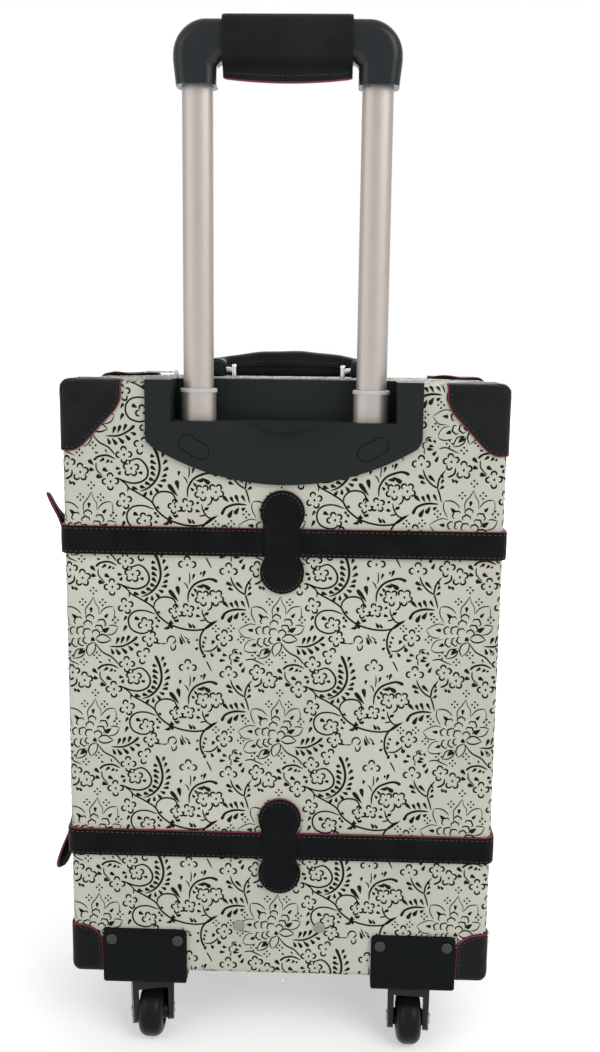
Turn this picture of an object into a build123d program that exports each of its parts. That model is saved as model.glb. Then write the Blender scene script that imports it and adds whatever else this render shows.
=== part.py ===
from build123d import *
from math import cos, radians, sin
import os

# A cabin-size trolley suitcase in millimetres: a clamshell case on four
# swivel casters, with a three-stage telescopic handle in its back panel.
# +Z is up, the back panel faces -Y, and the origin is on the floor under
# the middle of the case. Heights named _H are above the case's bottom.

# Case
CASE_W = 350.0
CASE_D = 200.0
CASE_H = 500.0
CASE_LIFT = 68.0
WALL = 4.0
EDGE_R = 7.0
RIM_R = 6.0
SEAM_Y = 30.0
SEAM_GAP = 8.0
SEAT = 0.3

# Zip
TAPE_T = 1.0
TAPE_DEPTH = 2.0
TEETH_W = 4.0
TEETH_DEPTH = 0.6
SLIDER_X = -96.0
SLIDER_L = 12.0
SLIDER_W = 7.4
SLIDER_RISE = 2.4
BAIL_R = 0.8
BAIL_RISE = 4.6
BAIL_GAP_W = 4.4
PULL_L = 26.0
PULL_W = 8.0
PULL_T = 1.2
PULL_EYE_R = 1.8
PULL_PLAY = 0.1

# Corner patches
PATCH_T = 1.5
PATCH_W = 48.0
PATCH_H = 54.6
PATCH_STRAIGHT = 17.0
PATCH_TOE = 13.0
FOOT_PATCH_H = 43.0
FOOT_PATCH_DROP = 9.0

# Belts
BELT_W = 23.0
BELT_T = 3.0
LOWER_BELT_H = 118.0
TAIL_START_Y = 4.0
TAIL_BEND_Y = -62.0
TAIL_L = 41.0
UPPER_TAIL_TURN = 58.0
LOWER_TAIL_TURN = -52.0
TAIL_FLARE = 10.0
BUCKLE_L = 24.0
BUCKLE_H = 34.0
BUCKLE_BAR = 3.4
BUCKLE_T = 2.6
PRONG_W = 3.0
PRONG_T = 1.6
KEEPER_L = 9.0
KEEPER_T = 1.6
KEEPER_Y = -26.0

# Belt tabs on the back panel
TAB_T = 2.0
TAB_LOBE_R = 17.7
TAB_SPREAD = 48.0
TAB_NECK_W = 28.0
TAB_CLEAR = 4.3

# Telescopic handle
TUBE_PITCH = 137.0
TUBE_Y = -82.0
TUBE_WALL = 1.2
INNER_W = 24.0
INNER_D = 16.0
MIDDLE_W = 28.0
MIDDLE_D = 20.0
BORE_PLAY = 0.2
SLIDE_FIT = 0.1
POCKET_W = 176.0
POCKET_BACK_Y = -65.0
POCKET_FLOOR_H = 470.0
BEZEL_W = 217.0
BEZEL_T = 3.7
BEZEL_WALL = 2.5
BEZEL_LIP = 2.0
BEZEL_LIP_D = 6.0
BEZEL_BOW_H = 421.0
BEZEL_BOW_R = 200.0
BEZEL_CORNER_R = 12.0
SCOOP_W = 107.0
SCOOP_DROP = 28.5
SCOOP_DEPTH = 24.0
SCOOP_FLOOR_R = 46.0
SOCKET_WALL = 2.2
SOCKET_L = 18.0
CAP_X = 70.0
CAP_H = 450.0
CAP_L = 26.0
CAP_W = 13.0
CAP_TILT = 30.0
CAP_SUNK = 1.6
CAP_PROUD = 1.6
FOOT_H = 38.0
FOOT_TOP_H = 80.0
FOOT_PLATE = 3.0
FOOT_FLOOR = 5.0
PANEL_RIVET_X = 34.0
PANEL_RIVET_H = 45.0
COLLAR_TOP_H = 495.0
COLLAR_LIP = 3.0
COLLAR_PROUD = 0.8
COLLAR_SKIRT = 14.0
MIDDLE_BOTTOM_H = 160.0
GUIDE_L = 14.0
GUIDE_SPIGOT = 12.0
INNER_BOTTOM_H = 425.0
LATCH_BLOCK_L = 22.0

# Grip
GRIP_W = 173.0
GRIP_TOP_H = 770.0
GRIP_UNDER_H = 739.0
SKIRT_H = 722.0
SKIRT_W = 31.0
SKIRT_TAPER = 2.0
SHOULDER_H = 740.0
GRIP_D = 27.0
GRIP_SHOULDER_R = 26.0
GRIP_CROOK_R = 4.0
GRIP_EDGE_R = 9.0
GRIP_WALL = 2.6
TUBE_SEAT_H = 741.0
WRAP_L = 98.0
WRAP_T = 3.0
WRAP_FIN_H = 726.0
WRAP_GAP = 0.4

# Release
PRESS_TRAVEL = 3.0
BUTTON_L = 34.0
BUTTON_D = 11.0
YOKE_H = 746.0
YOKE_T = 6.0
YOKE_D = 12.0
ROD_R = 1.6
ROD_OUT = 5.0
ROD_BACK = 3.0
LATCH_T = 2.4
LATCH_H = 11.0
LATCH_TIP_GAP = 0.25
LATCH_TAIL = 1.0
CROSS_PIN_R = 1.0
LATCH_DROP = 10.0

# Carry handle
CARRY_L = 150.0
CARRY_D = 22.0
CARRY_RISE = 24.5
CARRY_END_RISE = 14.5
CARRY_UNDER = 2.5
CARRY_ARM_W = 24.0
CARRY_REACH = 33.0
CARRY_HEEL = 6.0
CARRY_HEEL_ROUND = 7.8
CARRY_CORNER_R = 12.0
CARRY_HEEL_R = 5.0
CARRY_PIVOT_Y = -20.0
CARRY_PIVOT_RISE = 8.5
CARRY_PIN_R = 2.0
CARRY_PIN_L = 16.0
POST_R = 2.5
POST_BASE_D = 13.0
POST_BASE_W = 9.0
POST_BASE_T = 1.2
POST_GAP = 0.9

# Casters
CASTER_X = 113.5
CASTER_Y = 70.0
BRACKET_W = 71.0
BRACKET_H = 40.0
BRACKET_T = 2.5
BASE_T = 10.0
BASE_BOSS_T = 12.7
BASE_L = 67.0
BASE_BOSS_R = 20.0
RIVET_SPREAD = 28.0
RIVET_H = 31.0
RIVET_R = 2.0
RIVET_HEAD_R = 4.8
RIVET_HEAD_T = 1.5
SWIVEL_GAP = 0.4
WHEEL_R = 22.0
WHEEL_W = 21.0
WHEEL_SHOULDER_R = 8.0
HUB_R = 7.0
TRAIL = 13.0
FORK_W = 36.0
FORK_LEG = 5.4
FORK_END_R = 10.0
FORK_CROWN_R = 18.0
FORK_CLEAR = 2.2
AXLE_R = 3.0
AXLE_FIT = 0.08
AXLE_HEAD_R = 4.6
AXLE_HEAD_T = 1.0
KINGPIN_R = 4.0
KINGPIN_FIT = 0.08
KINGPIN_HEAD_R = 6.0
KINGPIN_HEAD_T = 2.5
CROWN_T = 5.5
STUD_R = 6.0
STUD_T = 4.0
STUD_Y = 80.0
STUD_H = 30.0
SWIVELS = {
    "back_left": (-1, -1, 14.0),
    "back_right": (1, -1, -5.0),
    "front_left": (-1, 1, 9.0),
    "front_right": (1, 1, -12.0),
}

# Line print on the back panel
PRINT_T = 0.2
PRINT_LIFT = 0.02
PRINT_LINE = 1.1
REPEAT_W = 151.0
REPEAT_H = 85.5
REPEAT_X = -1.2
REPEAT_START_H = 48.5
BLOOM_R = 16.5
BLOOM_HEART_R = 9.0
BLOSSOM_R = 5.2
VINE_R = 17.0
LEAF_L = 6.5
LEAF_W = 1.9

# Places worked out from the sizes above
BOTTOM = CASE_LIFT
TOP = BOTTOM + CASE_H
MID_Z = BOTTOM + CASE_H / 2
BACK_Y = -CASE_D / 2
FRONT_Y = CASE_D / 2
SEAM_BACK = SEAM_Y - SEAM_GAP / 2
SEAM_FRONT = SEAM_Y + SEAM_GAP / 2
TUBE_X = TUBE_PITCH / 2
WRAP_Y = TUBE_Y
UPPER_BELT_H = BEZEL_BOW_H - TAB_CLEAR - TAB_LOBE_R - TAB_SPREAD / 2
LATCH_CENTRE_H = INNER_BOTTOM_H - LATCH_DROP


def back_plane(y):
    """An upright plane across the case at depth y, seen from the back."""
    return Plane.XZ.offset(-y)


def side_plane(x):
    """An upright plane along the case's depth at x."""
    return Plane.YZ.offset(x)


def level(z):
    """A level plane at height z."""
    return Plane.XY.offset(z)


def save(part, name):
    """Names one finished piece and writes it."""
    part.label = name
    export_step(part, f"parts/{name}.step")


os.makedirs("parts", exist_ok=True)


# Case shells

def case_block(grow):
    """The closed case as one rounded block, grown by the same amount all round."""
    with BuildPart() as block:
        with BuildSketch(back_plane(BACK_Y - grow)):
            with Locations((0, MID_Z)):
                RectangleRounded(CASE_W + 2 * grow, CASE_H + 2 * grow, EDGE_R + grow)
        extrude(amount=-(CASE_D + 2 * grow))
        rims = block.faces().sort_by(Axis.Y)
        fillet(rims[0].edges() + rims[-1].edges(), RIM_R + grow)
    return block.part


def case_tray(closed_y, open_y):
    """One half of the case: a walled tray from its closed panel to its open rim."""
    toward = 1 if open_y > closed_y else -1
    depth = abs(open_y - closed_y)
    with BuildPart() as tray:
        with BuildSketch(back_plane(closed_y)):
            with Locations((0, MID_Z)):
                RectangleRounded(CASE_W, CASE_H, EDGE_R)
        extrude(amount=-toward * depth)
        panel = tray.faces().sort_by(Axis.Y)[0 if toward > 0 else -1]
        fillet(panel.edges(), RIM_R)
        with BuildSketch(back_plane(closed_y + toward * WALL)):
            with Locations((0, MID_Z)):
                RectangleRounded(CASE_W - 2 * WALL, CASE_H - 2 * WALL, EDGE_R - WALL)
        extrude(amount=-toward * depth, mode=Mode.SUBTRACT)
    return tray.part


def rivet_spots(side):
    """The two rivet places of a caster bracket, as (x, z) pairs."""
    return [(side * CASTER_X + s * RIVET_SPREAD, BOTTOM + RIVET_H) for s in (-1, 1)]


BRACKET_SPOTS = rivet_spots(-1) + rivet_spots(1)
PANEL_SPOTS = [(s * PANEL_RIVET_X, BOTTOM + PANEL_RIVET_H) for s in (-1, 1)]
POCKET_HOLE_W = POCKET_W + 2 * BEZEL_WALL + 2 * SEAT
POCKET_HOLE_Y = POCKET_BACK_Y + BEZEL_WALL + SEAT
SCOOP_HOLE_Z = BOTTOM + POCKET_FLOOR_H - SCOOP_DROP - BEZEL_WALL - 2 * SEAT

with BuildPart() as back_shell:
    add(case_tray(BACK_Y, SEAM_BACK))
    with BuildSketch(back_plane(BACK_Y - WALL)):
        with Locations((0, TOP)):
            Rectangle(POCKET_HOLE_W, 2 * (CASE_H - POCKET_FLOOR_H + BEZEL_WALL + SEAT))
    extrude(amount=-(POCKET_HOLE_Y - BACK_Y + WALL), mode=Mode.SUBTRACT)
    with BuildSketch(back_plane(BACK_Y - WALL)):
        with Locations((0, TOP)):
            Rectangle(SCOOP_W + 2 * BEZEL_WALL, 2 * (TOP - SCOOP_HOLE_Z))
    extrude(amount=-3 * WALL, mode=Mode.SUBTRACT)
    with BuildSketch(back_plane(BACK_Y - WALL)):
        with Locations(*BRACKET_SPOTS, *PANEL_SPOTS):
            Circle(RIVET_R + SLIDE_FIT)
    extrude(amount=-3 * WALL, mode=Mode.SUBTRACT)
save(back_shell.part, "back_shell")

with BuildPart() as front_lid:
    add(case_tray(FRONT_Y, SEAM_FRONT))
    with BuildSketch(back_plane(FRONT_Y - 2 * WALL)):
        with Locations(*BRACKET_SPOTS):
            Circle(RIVET_R + SLIDE_FIT)
    extrude(amount=-4 * WALL, mode=Mode.SUBTRACT)
save(front_lid.part, "front_lid")


# Zip along the top, the left side and the bottom, and the cloth hinge at the right

def seam_band(depth, thickness, y0, y1, hinge):
    """A thin band in the seam, on the hinge side alone or on the other three."""
    with BuildPart() as band:
        with BuildSketch(back_plane(y0)):
            with Locations((0, MID_Z)):
                inset = 2 * depth
                RectangleRounded(CASE_W - inset, CASE_H - inset, EDGE_R - depth)
                inner = inset + 2 * thickness
                RectangleRounded(
                    CASE_W - inner,
                    CASE_H - inner,
                    EDGE_R - depth - thickness,
                    mode=Mode.SUBTRACT,
                )
        extrude(amount=-(y1 - y0))
        cut_x = CASE_W / 2 - EDGE_R
        with BuildSketch(back_plane(y0)):
            if hinge:
                with Locations((cut_x - CASE_W / 2 + SEAT, MID_Z)):
                    Rectangle(CASE_W, CASE_H)
            else:
                with Locations((cut_x + CASE_W / 2, MID_Z)):
                    Rectangle(CASE_W, CASE_H)
        extrude(amount=-(y1 - y0), mode=Mode.SUBTRACT)
    return band.part


with BuildPart() as zip_tapes:
    add(seam_band(TAPE_DEPTH, TAPE_T, SEAM_BACK, SEAM_Y - SLIDE_FIT, False))
    add(seam_band(TAPE_DEPTH, TAPE_T, SEAM_Y + SLIDE_FIT, SEAM_FRONT, False))
save(zip_tapes.part, "zip_tapes")

with BuildPart() as zip_teeth:
    teeth_t = TAPE_DEPTH - TEETH_DEPTH
    add(seam_band(TEETH_DEPTH, teeth_t, SEAM_Y - TEETH_W / 2, SEAM_Y + TEETH_W / 2, False))
save(zip_teeth.part, "zip_teeth")

with BuildPart() as lid_hinge:
    add(seam_band(TAPE_DEPTH / 2, 2 * TAPE_T, SEAM_BACK, SEAM_FRONT, True))
save(lid_hinge.part, "lid_hinge")

SLIDER_SPOTS = [(SLIDER_X - s * (SLIDER_L / 2 + SEAT), s) for s in (1, -1)]
BAIL_Z = TOP + BAIL_RISE

with BuildPart() as zip_sliders:
    for x, side in SLIDER_SPOTS:
        with BuildSketch(level(TOP - TEETH_DEPTH + SEAT)):
            with Locations((x, SEAM_Y)):
                Trapezoid(
                    SLIDER_W,
                    SLIDER_L,
                    80,
                    rotation=90 * side,
                )
        extrude(amount=SLIDER_RISE + TEETH_DEPTH - SEAT)
        with BuildSketch(back_plane(SEAM_Y - BAIL_GAP_W / 2)) as bail_leg:
            with Locations((x, TOP + SLIDER_RISE)):
                Rectangle(3, 2 * (BAIL_Z + BAIL_R - TOP - SLIDER_RISE))
        extrude(amount=1.2)
        with BuildSketch(back_plane(SEAM_Y + BAIL_GAP_W / 2 + 1.2)):
            with Locations((x, TOP + SLIDER_RISE)):
                Rectangle(3, 2 * (BAIL_Z + BAIL_R - TOP - SLIDER_RISE))
        extrude(amount=1.2)
        with BuildSketch(back_plane(SEAM_Y - BAIL_GAP_W / 2 - 0.6)):
            with Locations((x, BAIL_Z)):
                Circle(BAIL_R)
        extrude(amount=-(BAIL_GAP_W + 1.2))
save(zip_sliders.part, "zip_sliders")

for (x, side), name in zip(SLIDER_SPOTS, ("zip_pull_left", "zip_pull_right")):
    with BuildPart() as pull:
        with BuildSketch(back_plane(SEAM_Y + BAIL_GAP_W / 2 - SEAT)):
            with Locations((x, BAIL_Z)):
                Circle(PULL_EYE_R)
        extrude(amount=BAIL_GAP_W - 2 * SEAT)
        with BuildSketch(level(BAIL_Z - PULL_T / 2)):
            neck = x - side * 3.5
            with Locations((x - side * 2.5, SEAM_Y)):
                Rectangle(5, BAIL_GAP_W - 2 * SEAT)
            with Locations((neck - side * PULL_L / 2, SEAM_Y)):
                RectangleRounded(PULL_L, PULL_W, 3)
            with Locations((neck - side * (PULL_L - 6), SEAM_Y)):
                Circle(1.8, mode=Mode.SUBTRACT)
        extrude(amount=PULL_T)
        with BuildSketch(back_plane(SEAM_Y + BAIL_GAP_W)):
            with Locations((x, BAIL_Z)):
                Circle(BAIL_R + PULL_PLAY)
        extrude(amount=2 * BAIL_GAP_W, mode=Mode.SUBTRACT)
    save(pull.part, name)


# Corner patches, each wrapping three faces of the case

def flap_points(width, height, straight, toe):
    """A flap's outline as steps inwards from the case's corner."""
    over = WALL
    return [(-over, -over), (width, -over), (width, straight), (toe, height), (-over, height)]


def corner_patches(up, back_flap, side_flap, level_flap):
    """Four three-faced leather caps on the case's upper or lower corners."""
    edge_z = TOP if up else BOTTOM
    down = -1 if up else 1
    left = -CASE_W / 2
    with BuildPart(mode=Mode.PRIVATE) as mask:
        with BuildSketch(back_plane(BACK_Y - WALL)):
            Polygon(*[(left + u, edge_z + down * v) for u, v in back_flap], align=None)
        extrude(amount=-(WALL + RIM_R))
        with BuildSketch(side_plane(left - WALL)):
            Polygon(*[(BACK_Y + u, edge_z + down * v) for u, v in side_flap], align=None)
        extrude(amount=WALL + EDGE_R)
        with BuildSketch(level(edge_z - down * WALL)):
            Polygon(*[(left + u, BACK_Y + v) for u, v in level_flap], align=None)
        extrude(amount=down * (WALL + EDGE_R))
        mirror(about=Plane.YZ)
        mirror(about=Plane.XZ)
    with BuildPart() as caps:
        add(case_block(SEAT + PATCH_T))
        add(case_block(SEAT), mode=Mode.SUBTRACT)
        add(mask.part, mode=Mode.INTERSECT)
    return caps.part


PANEL_FLAP = flap_points(PATCH_W, PATCH_H, PATCH_STRAIGHT, PATCH_TOE)
LID_FLAP = flap_points(PATCH_W, PATCH_W, PATCH_STRAIGHT, PATCH_STRAIGHT)
FOOT_PATCH_W = CASE_W / 2 - CASTER_X - BRACKET_W / 2 - SEAT
FOOT_PATCH_SIDE = FOOT_PATCH_H - FOOT_PATCH_DROP
FOOT_PANEL_FLAP = flap_points(FOOT_PATCH_W, FOOT_PATCH_H, FOOT_PATCH_SIDE, PATCH_TOE)
FOOT_SIDE_FLAP = flap_points(PATCH_W, FOOT_PATCH_H, PATCH_STRAIGHT, PATCH_TOE)
FOOT_LEVEL_FLAP = flap_points(FOOT_PATCH_W, PATCH_W, PATCH_STRAIGHT, PATCH_TOE)

save(
    corner_patches(True, PANEL_FLAP, PANEL_FLAP, LID_FLAP),
    "top_corner_patches",
)
save(
    corner_patches(False, FOOT_PANEL_FLAP, FOOT_SIDE_FLAP, FOOT_LEVEL_FLAP),
    "bottom_corner_patches",
)


# Belts, each a closed loop with its free tail over the buckle on the left side

LEFT_X = -CASE_W / 2
BELT_OUT = SEAT + BELT_T
TAIL_X = LEFT_X - BELT_OUT


def belt(height, turn):
    """A belt loop at its height, its tail turned up or down past the keeper."""
    z = BOTTOM + height
    with BuildPart() as strap:
        with BuildSketch(level(z - BELT_W / 2)):
            RectangleRounded(
                CASE_W + 2 * BELT_OUT,
                CASE_D + 2 * BELT_OUT,
                RIM_R + BELT_OUT,
            )
            RectangleRounded(
                CASE_W + 2 * SEAT,
                CASE_D + 2 * SEAT,
                RIM_R + SEAT,
                mode=Mode.SUBTRACT,
            )
        extrude(amount=BELT_W)
        with BuildSketch(side_plane(TAIL_X)):
            with Locations(((TAIL_START_Y + TAIL_BEND_Y) / 2, z)):
                Rectangle(TAIL_START_Y - TAIL_BEND_Y, BELT_W)
        extrude(amount=-BELT_T)
        up, out = radians(turn), radians(TAIL_FLARE)
        along = Plane(
            origin=(TAIL_X, TAIL_BEND_Y, z),
            x_dir=(-sin(out), -cos(up) * cos(out), sin(up) * cos(out)),
            z_dir=(-cos(out), cos(up) * sin(out), -sin(up) * sin(out)),
        )
        with BuildSketch(along):
            with Locations(((TAIL_L - BELT_W / 2) / 2, 0)):
                SlotOverall(TAIL_L + BELT_W / 2, BELT_W)
        extrude(amount=BELT_T)
    return strap.part


save(belt(UPPER_BELT_H, UPPER_TAIL_TURN), "upper_belt")
save(belt(LOWER_BELT_H, LOWER_TAIL_TURN), "lower_belt")

BELT_HEIGHTS = (UPPER_BELT_H, LOWER_BELT_H)
BUCKLE_X = TAIL_X - BELT_T - SEAT

with BuildPart() as belt_buckles:
    for height in BELT_HEIGHTS:
        with BuildSketch(side_plane(BUCKLE_X)):
            with Locations((TAIL_START_Y - BUCKLE_L / 2, BOTTOM + height)):
                RectangleRounded(BUCKLE_L, BUCKLE_H, BUCKLE_BAR)
                Rectangle(
                    BUCKLE_L - 2 * BUCKLE_BAR,
                    BUCKLE_H - 2 * BUCKLE_BAR,
                    mode=Mode.SUBTRACT,
                )
        extrude(amount=-BUCKLE_T)
save(belt_buckles.part, "belt_buckles")

with BuildPart() as buckle_prongs:
    for height in BELT_HEIGHTS:
        with BuildSketch(side_plane(BUCKLE_X - BUCKLE_T)):
            with Locations((TAIL_START_Y - BUCKLE_L / 2, BOTTOM + height)):
                SlotOverall(BUCKLE_L + 2, PRONG_W)
        extrude(amount=-PRONG_T)
save(buckle_prongs.part, "buckle_prongs")

with BuildPart() as belt_keepers:
    keeper_out = KEEPER_T - BUCKLE_X
    for height in BELT_HEIGHTS:
        with BuildSketch(back_plane(KEEPER_Y - KEEPER_L / 2)):
            with Locations((-(keeper_out - LEFT_X + SEAT) / 2, BOTTOM + height)):
                Rectangle(keeper_out + LEFT_X - SEAT, BELT_W + 2 * (SEAT + KEEPER_T))
            with Locations((-(keeper_out - KEEPER_T - LEFT_X + SEAT) / 2, BOTTOM + height)):
                Rectangle(
                    keeper_out - KEEPER_T + LEFT_X - SEAT,
                    BELT_W + 2 * SEAT,
                    mode=Mode.SUBTRACT,
                )
        extrude(amount=-KEEPER_L)
save(belt_keepers.part, "belt_keepers")

# Stitched tabs holding the belts at the middle of the back panel

TAB_Y = BACK_Y - SEAT
TAB_DEPTH = BELT_OUT + TAB_T

for height, name in ((UPPER_BELT_H, "upper_belt_tab"), (LOWER_BELT_H, "lower_belt_tab")):
    z = BOTTOM + height
    with BuildPart() as tab:
        with BuildSketch(back_plane(TAB_Y)):
            with Locations((0, z + TAB_SPREAD / 2), (0, z - TAB_SPREAD / 2)):
                Circle(TAB_LOBE_R)
            with Locations((0, z)):
                Rectangle(TAB_NECK_W, TAB_SPREAD)
        extrude(amount=TAB_DEPTH)
        with BuildSketch(back_plane(TAB_Y)):
            with Locations((0, z)):
                Rectangle(3 * TAB_LOBE_R, BELT_W + 2 * SEAT)
        extrude(amount=BELT_OUT, mode=Mode.SUBTRACT)
        front = tab.faces().sort_by(Axis.Y)[0]
        fillet(front.edges(), TAB_T / 2)
    save(tab.part, name)


# Moulded bezel with the grip's pocket and the finger scoop

FLANGE_Y = BACK_Y - SEAT
FACE_Y = FLANGE_Y - BEZEL_T
POCKET_FLOOR = BOTTOM + POCKET_FLOOR_H
SCOOP_Z = POCKET_FLOOR - SCOOP_DROP + ((SCOOP_W / 2) ** 2 + SCOOP_DROP**2) / (2 * SCOOP_DROP)
SCOOP_R = SCOOP_Z - POCKET_FLOOR + SCOOP_DROP
BEZEL_HALF = BEZEL_W / 2
BOW_Z = BOTTOM + BEZEL_BOW_H
BOW_SIDE_Z = BOW_Z + BEZEL_BOW_R - (BEZEL_BOW_R**2 - BEZEL_HALF**2) ** 0.5
CAP_SPOTS = [(s * CAP_X, BOTTOM + CAP_H, s * CAP_TILT) for s in (-1, 1)]


def oval(width, depth):
    """An oval tube section."""
    return Ellipse(width / 2, depth / 2)


def scoop(grow, y0, y1):
    """The finger scoop's tapered round, below the pocket's floor, grown by an amount."""
    slope = (SCOOP_R - SCOOP_FLOOR_R) / SCOOP_DEPTH
    with BuildPart() as hollow:
        for y in (y0, y1):
            with BuildSketch(back_plane(y)):
                with Locations((0, SCOOP_Z)):
                    Circle(SCOOP_R - slope * (y - FACE_Y) + grow)
        loft()
        with BuildSketch(back_plane(y0)):
            with Locations((0, POCKET_FLOOR + SCOOP_R)):
                Rectangle(4 * SCOOP_R, 2 * SCOOP_R)
        extrude(amount=y0 - y1, mode=Mode.SUBTRACT)
    return hollow.part


SCOOP_SKIN = scoop(BEZEL_WALL * 1.3, FLANGE_Y, FACE_Y + SCOOP_DEPTH + BEZEL_WALL)
SCOOP_HOLLOW = scoop(0, FACE_Y, FACE_Y + SCOOP_DEPTH)

with BuildPart() as handle_bezel:
    with BuildSketch(back_plane(FLANGE_Y)) as flange:
        with BuildLine():
            Polyline(
                (BEZEL_HALF, BOW_SIDE_Z),
                (BEZEL_HALF, TOP + BEZEL_LIP),
                (-BEZEL_HALF, TOP + BEZEL_LIP),
                (-BEZEL_HALF, BOW_SIDE_Z),
            )
            ThreePointArc((-BEZEL_HALF, BOW_SIDE_Z), (0, BOW_Z), (BEZEL_HALF, BOW_SIDE_Z))
        make_face()
        fillet(flange.vertices().group_by(Axis.Y)[0], BEZEL_CORNER_R)
        with Locations((0, TOP + BEZEL_LIP)):
            Rectangle(POCKET_W, 2 * (TOP + BEZEL_LIP - POCKET_FLOOR), mode=Mode.SUBTRACT)
    extrude(amount=BEZEL_T)
    rim = handle_bezel.faces().sort_by(Axis.Y)[0]
    fillet(rim.edges().filter_by(lambda e: e.center().Z < TOP - 1), 1.2)
    with BuildSketch(level(TOP + SEAT)):
        with Locations((0, (FLANGE_Y + POCKET_BACK_Y + BEZEL_LIP_D) / 2)):
            Rectangle(BEZEL_W, POCKET_BACK_Y + BEZEL_LIP_D - FLANGE_Y)
    extrude(amount=BEZEL_LIP - SEAT)
    with BuildSketch(level(POCKET_FLOOR - BEZEL_WALL)):
        with Locations((0, (FLANGE_Y + POCKET_BACK_Y + BEZEL_WALL) / 2)):
            Rectangle(POCKET_W + 2 * BEZEL_WALL, POCKET_BACK_Y + BEZEL_WALL - FLANGE_Y)
    extrude(amount=TOP + BEZEL_LIP - POCKET_FLOOR + BEZEL_WALL)
    with BuildSketch(level(POCKET_FLOOR - BEZEL_WALL - SOCKET_L)):
        with Locations((-TUBE_X, TUBE_Y), (TUBE_X, TUBE_Y)):
            RectangleRounded(
                MIDDLE_W + 2 * (BORE_PLAY + TUBE_WALL + SEAT + SOCKET_WALL),
                MIDDLE_D + 2 * (BORE_PLAY + TUBE_WALL + SEAT + SOCKET_WALL) - 1,
                8,
            )
    extrude(amount=SOCKET_L)
    add(SCOOP_SKIN)
    with BuildSketch(back_plane(FACE_Y - 1)):
        with Locations((0, TOP + BEZEL_LIP)):
            Rectangle(POCKET_W, 2 * (TOP + BEZEL_LIP - POCKET_FLOOR))
    extrude(amount=-(POCKET_BACK_Y - FACE_Y + 1), mode=Mode.SUBTRACT)
    add(SCOOP_HOLLOW, mode=Mode.SUBTRACT)
    with BuildSketch(level(POCKET_FLOOR - BEZEL_WALL - SOCKET_L)):
        with Locations((-TUBE_X, TUBE_Y), (TUBE_X, TUBE_Y)):
            oval(
                MIDDLE_W + 2 * (BORE_PLAY + TUBE_WALL + SEAT),
                MIDDLE_D + 2 * (BORE_PLAY + TUBE_WALL + SEAT),
            )
    extrude(amount=SOCKET_L, mode=Mode.SUBTRACT)
    with BuildSketch(level(POCKET_FLOOR - 2 * BEZEL_WALL)):
        with Locations((-TUBE_X, TUBE_Y), (TUBE_X, TUBE_Y)):
            oval(MIDDLE_W + 2 * BORE_PLAY, MIDDLE_D + 2 * BORE_PLAY)
    extrude(amount=3 * BEZEL_WALL, mode=Mode.SUBTRACT)
    for x, z, tilt in CAP_SPOTS:
        with BuildSketch(back_plane(FACE_Y)):
            with Locations((x, z)):
                SlotOverall(CAP_L, CAP_W, rotation=tilt)
        extrude(amount=-CAP_SUNK, mode=Mode.SUBTRACT)
save(handle_bezel.part, "handle_bezel")

with BuildPart() as bezel_screw_caps:
    for x, z, tilt in CAP_SPOTS:
        with BuildSketch(back_plane(FACE_Y + CAP_SUNK - SEAT)):
            with Locations((x, z)):
                SlotOverall(CAP_L - 2 * SEAT, CAP_W - 2 * SEAT, rotation=tilt)
        extrude(amount=CAP_SUNK - SEAT + CAP_PROUD)
    fronts = bezel_screw_caps.faces().group_by(Axis.Y)[0]
    fillet(fronts.edges(), CAP_PROUD)
save(bezel_screw_caps.part, "bezel_screw_caps")


# Telescopic tubes, outer, middle and inner, with their foot and guides

def tube(side, width, depth, low, high):
    """An oval tube on one side, from one height to another above the case's bottom."""
    with BuildPart() as pipe:
        with BuildSketch(level(BOTTOM + low)):
            with Locations((side * TUBE_X, TUBE_Y)):
                oval(width, depth)
                oval_bore = (width - 2 * TUBE_WALL, depth - 2 * TUBE_WALL)
                Ellipse(oval_bore[0] / 2, oval_bore[1] / 2, mode=Mode.SUBTRACT)
        extrude(amount=high - low)
    return pipe.part


OUTER_W = MIDDLE_W + 2 * (BORE_PLAY + TUBE_WALL)
OUTER_D = MIDDLE_D + 2 * (BORE_PLAY + TUBE_WALL)
OUTER_LOW = FOOT_H + FOOT_FLOOR
OUTER_HIGH = POCKET_FLOOR_H - BEZEL_WALL - SEAT
MIDDLE_HIGH = COLLAR_TOP_H - COLLAR_LIP
MIDDLE_BORE_W = MIDDLE_W - 2 * TUBE_WALL
MIDDLE_BORE_D = MIDDLE_D - 2 * TUBE_WALL
INNER_BORE_W = INNER_W - 2 * TUBE_WALL
INNER_BORE_D = INNER_D - 2 * TUBE_WALL
LATCH_Z = BOTTOM + LATCH_CENTRE_H

for side, word in ((-1, "left"), (1, "right")):
    save(tube(side, OUTER_W, OUTER_D, OUTER_LOW, OUTER_HIGH), f"outer_tube_{word}")
    with BuildPart() as middle:
        add(tube(side, MIDDLE_W, MIDDLE_D, MIDDLE_BOTTOM_H, MIDDLE_HIGH))
        with BuildSketch(side_plane(side * TUBE_X)):
            with Locations((TUBE_Y, LATCH_Z)):
                Rectangle(LATCH_T + 4 * SLIDE_FIT, LATCH_H + 4 * SLIDE_FIT)
        extrude(amount=side * MIDDLE_W, mode=Mode.SUBTRACT)
    save(middle.part, f"middle_tube_{word}")
    save(tube(side, INNER_W, INNER_D, INNER_BOTTOM_H, TUBE_SEAT_H), f"inner_tube_{word}")

FOOT_Y = BACK_Y + WALL + SEAT
CUP_W = OUTER_W + 2 * (SEAT + SOCKET_WALL)
CUP_BACK = TUBE_Y + OUTER_D / 2 + SEAT + SOCKET_WALL

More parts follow.
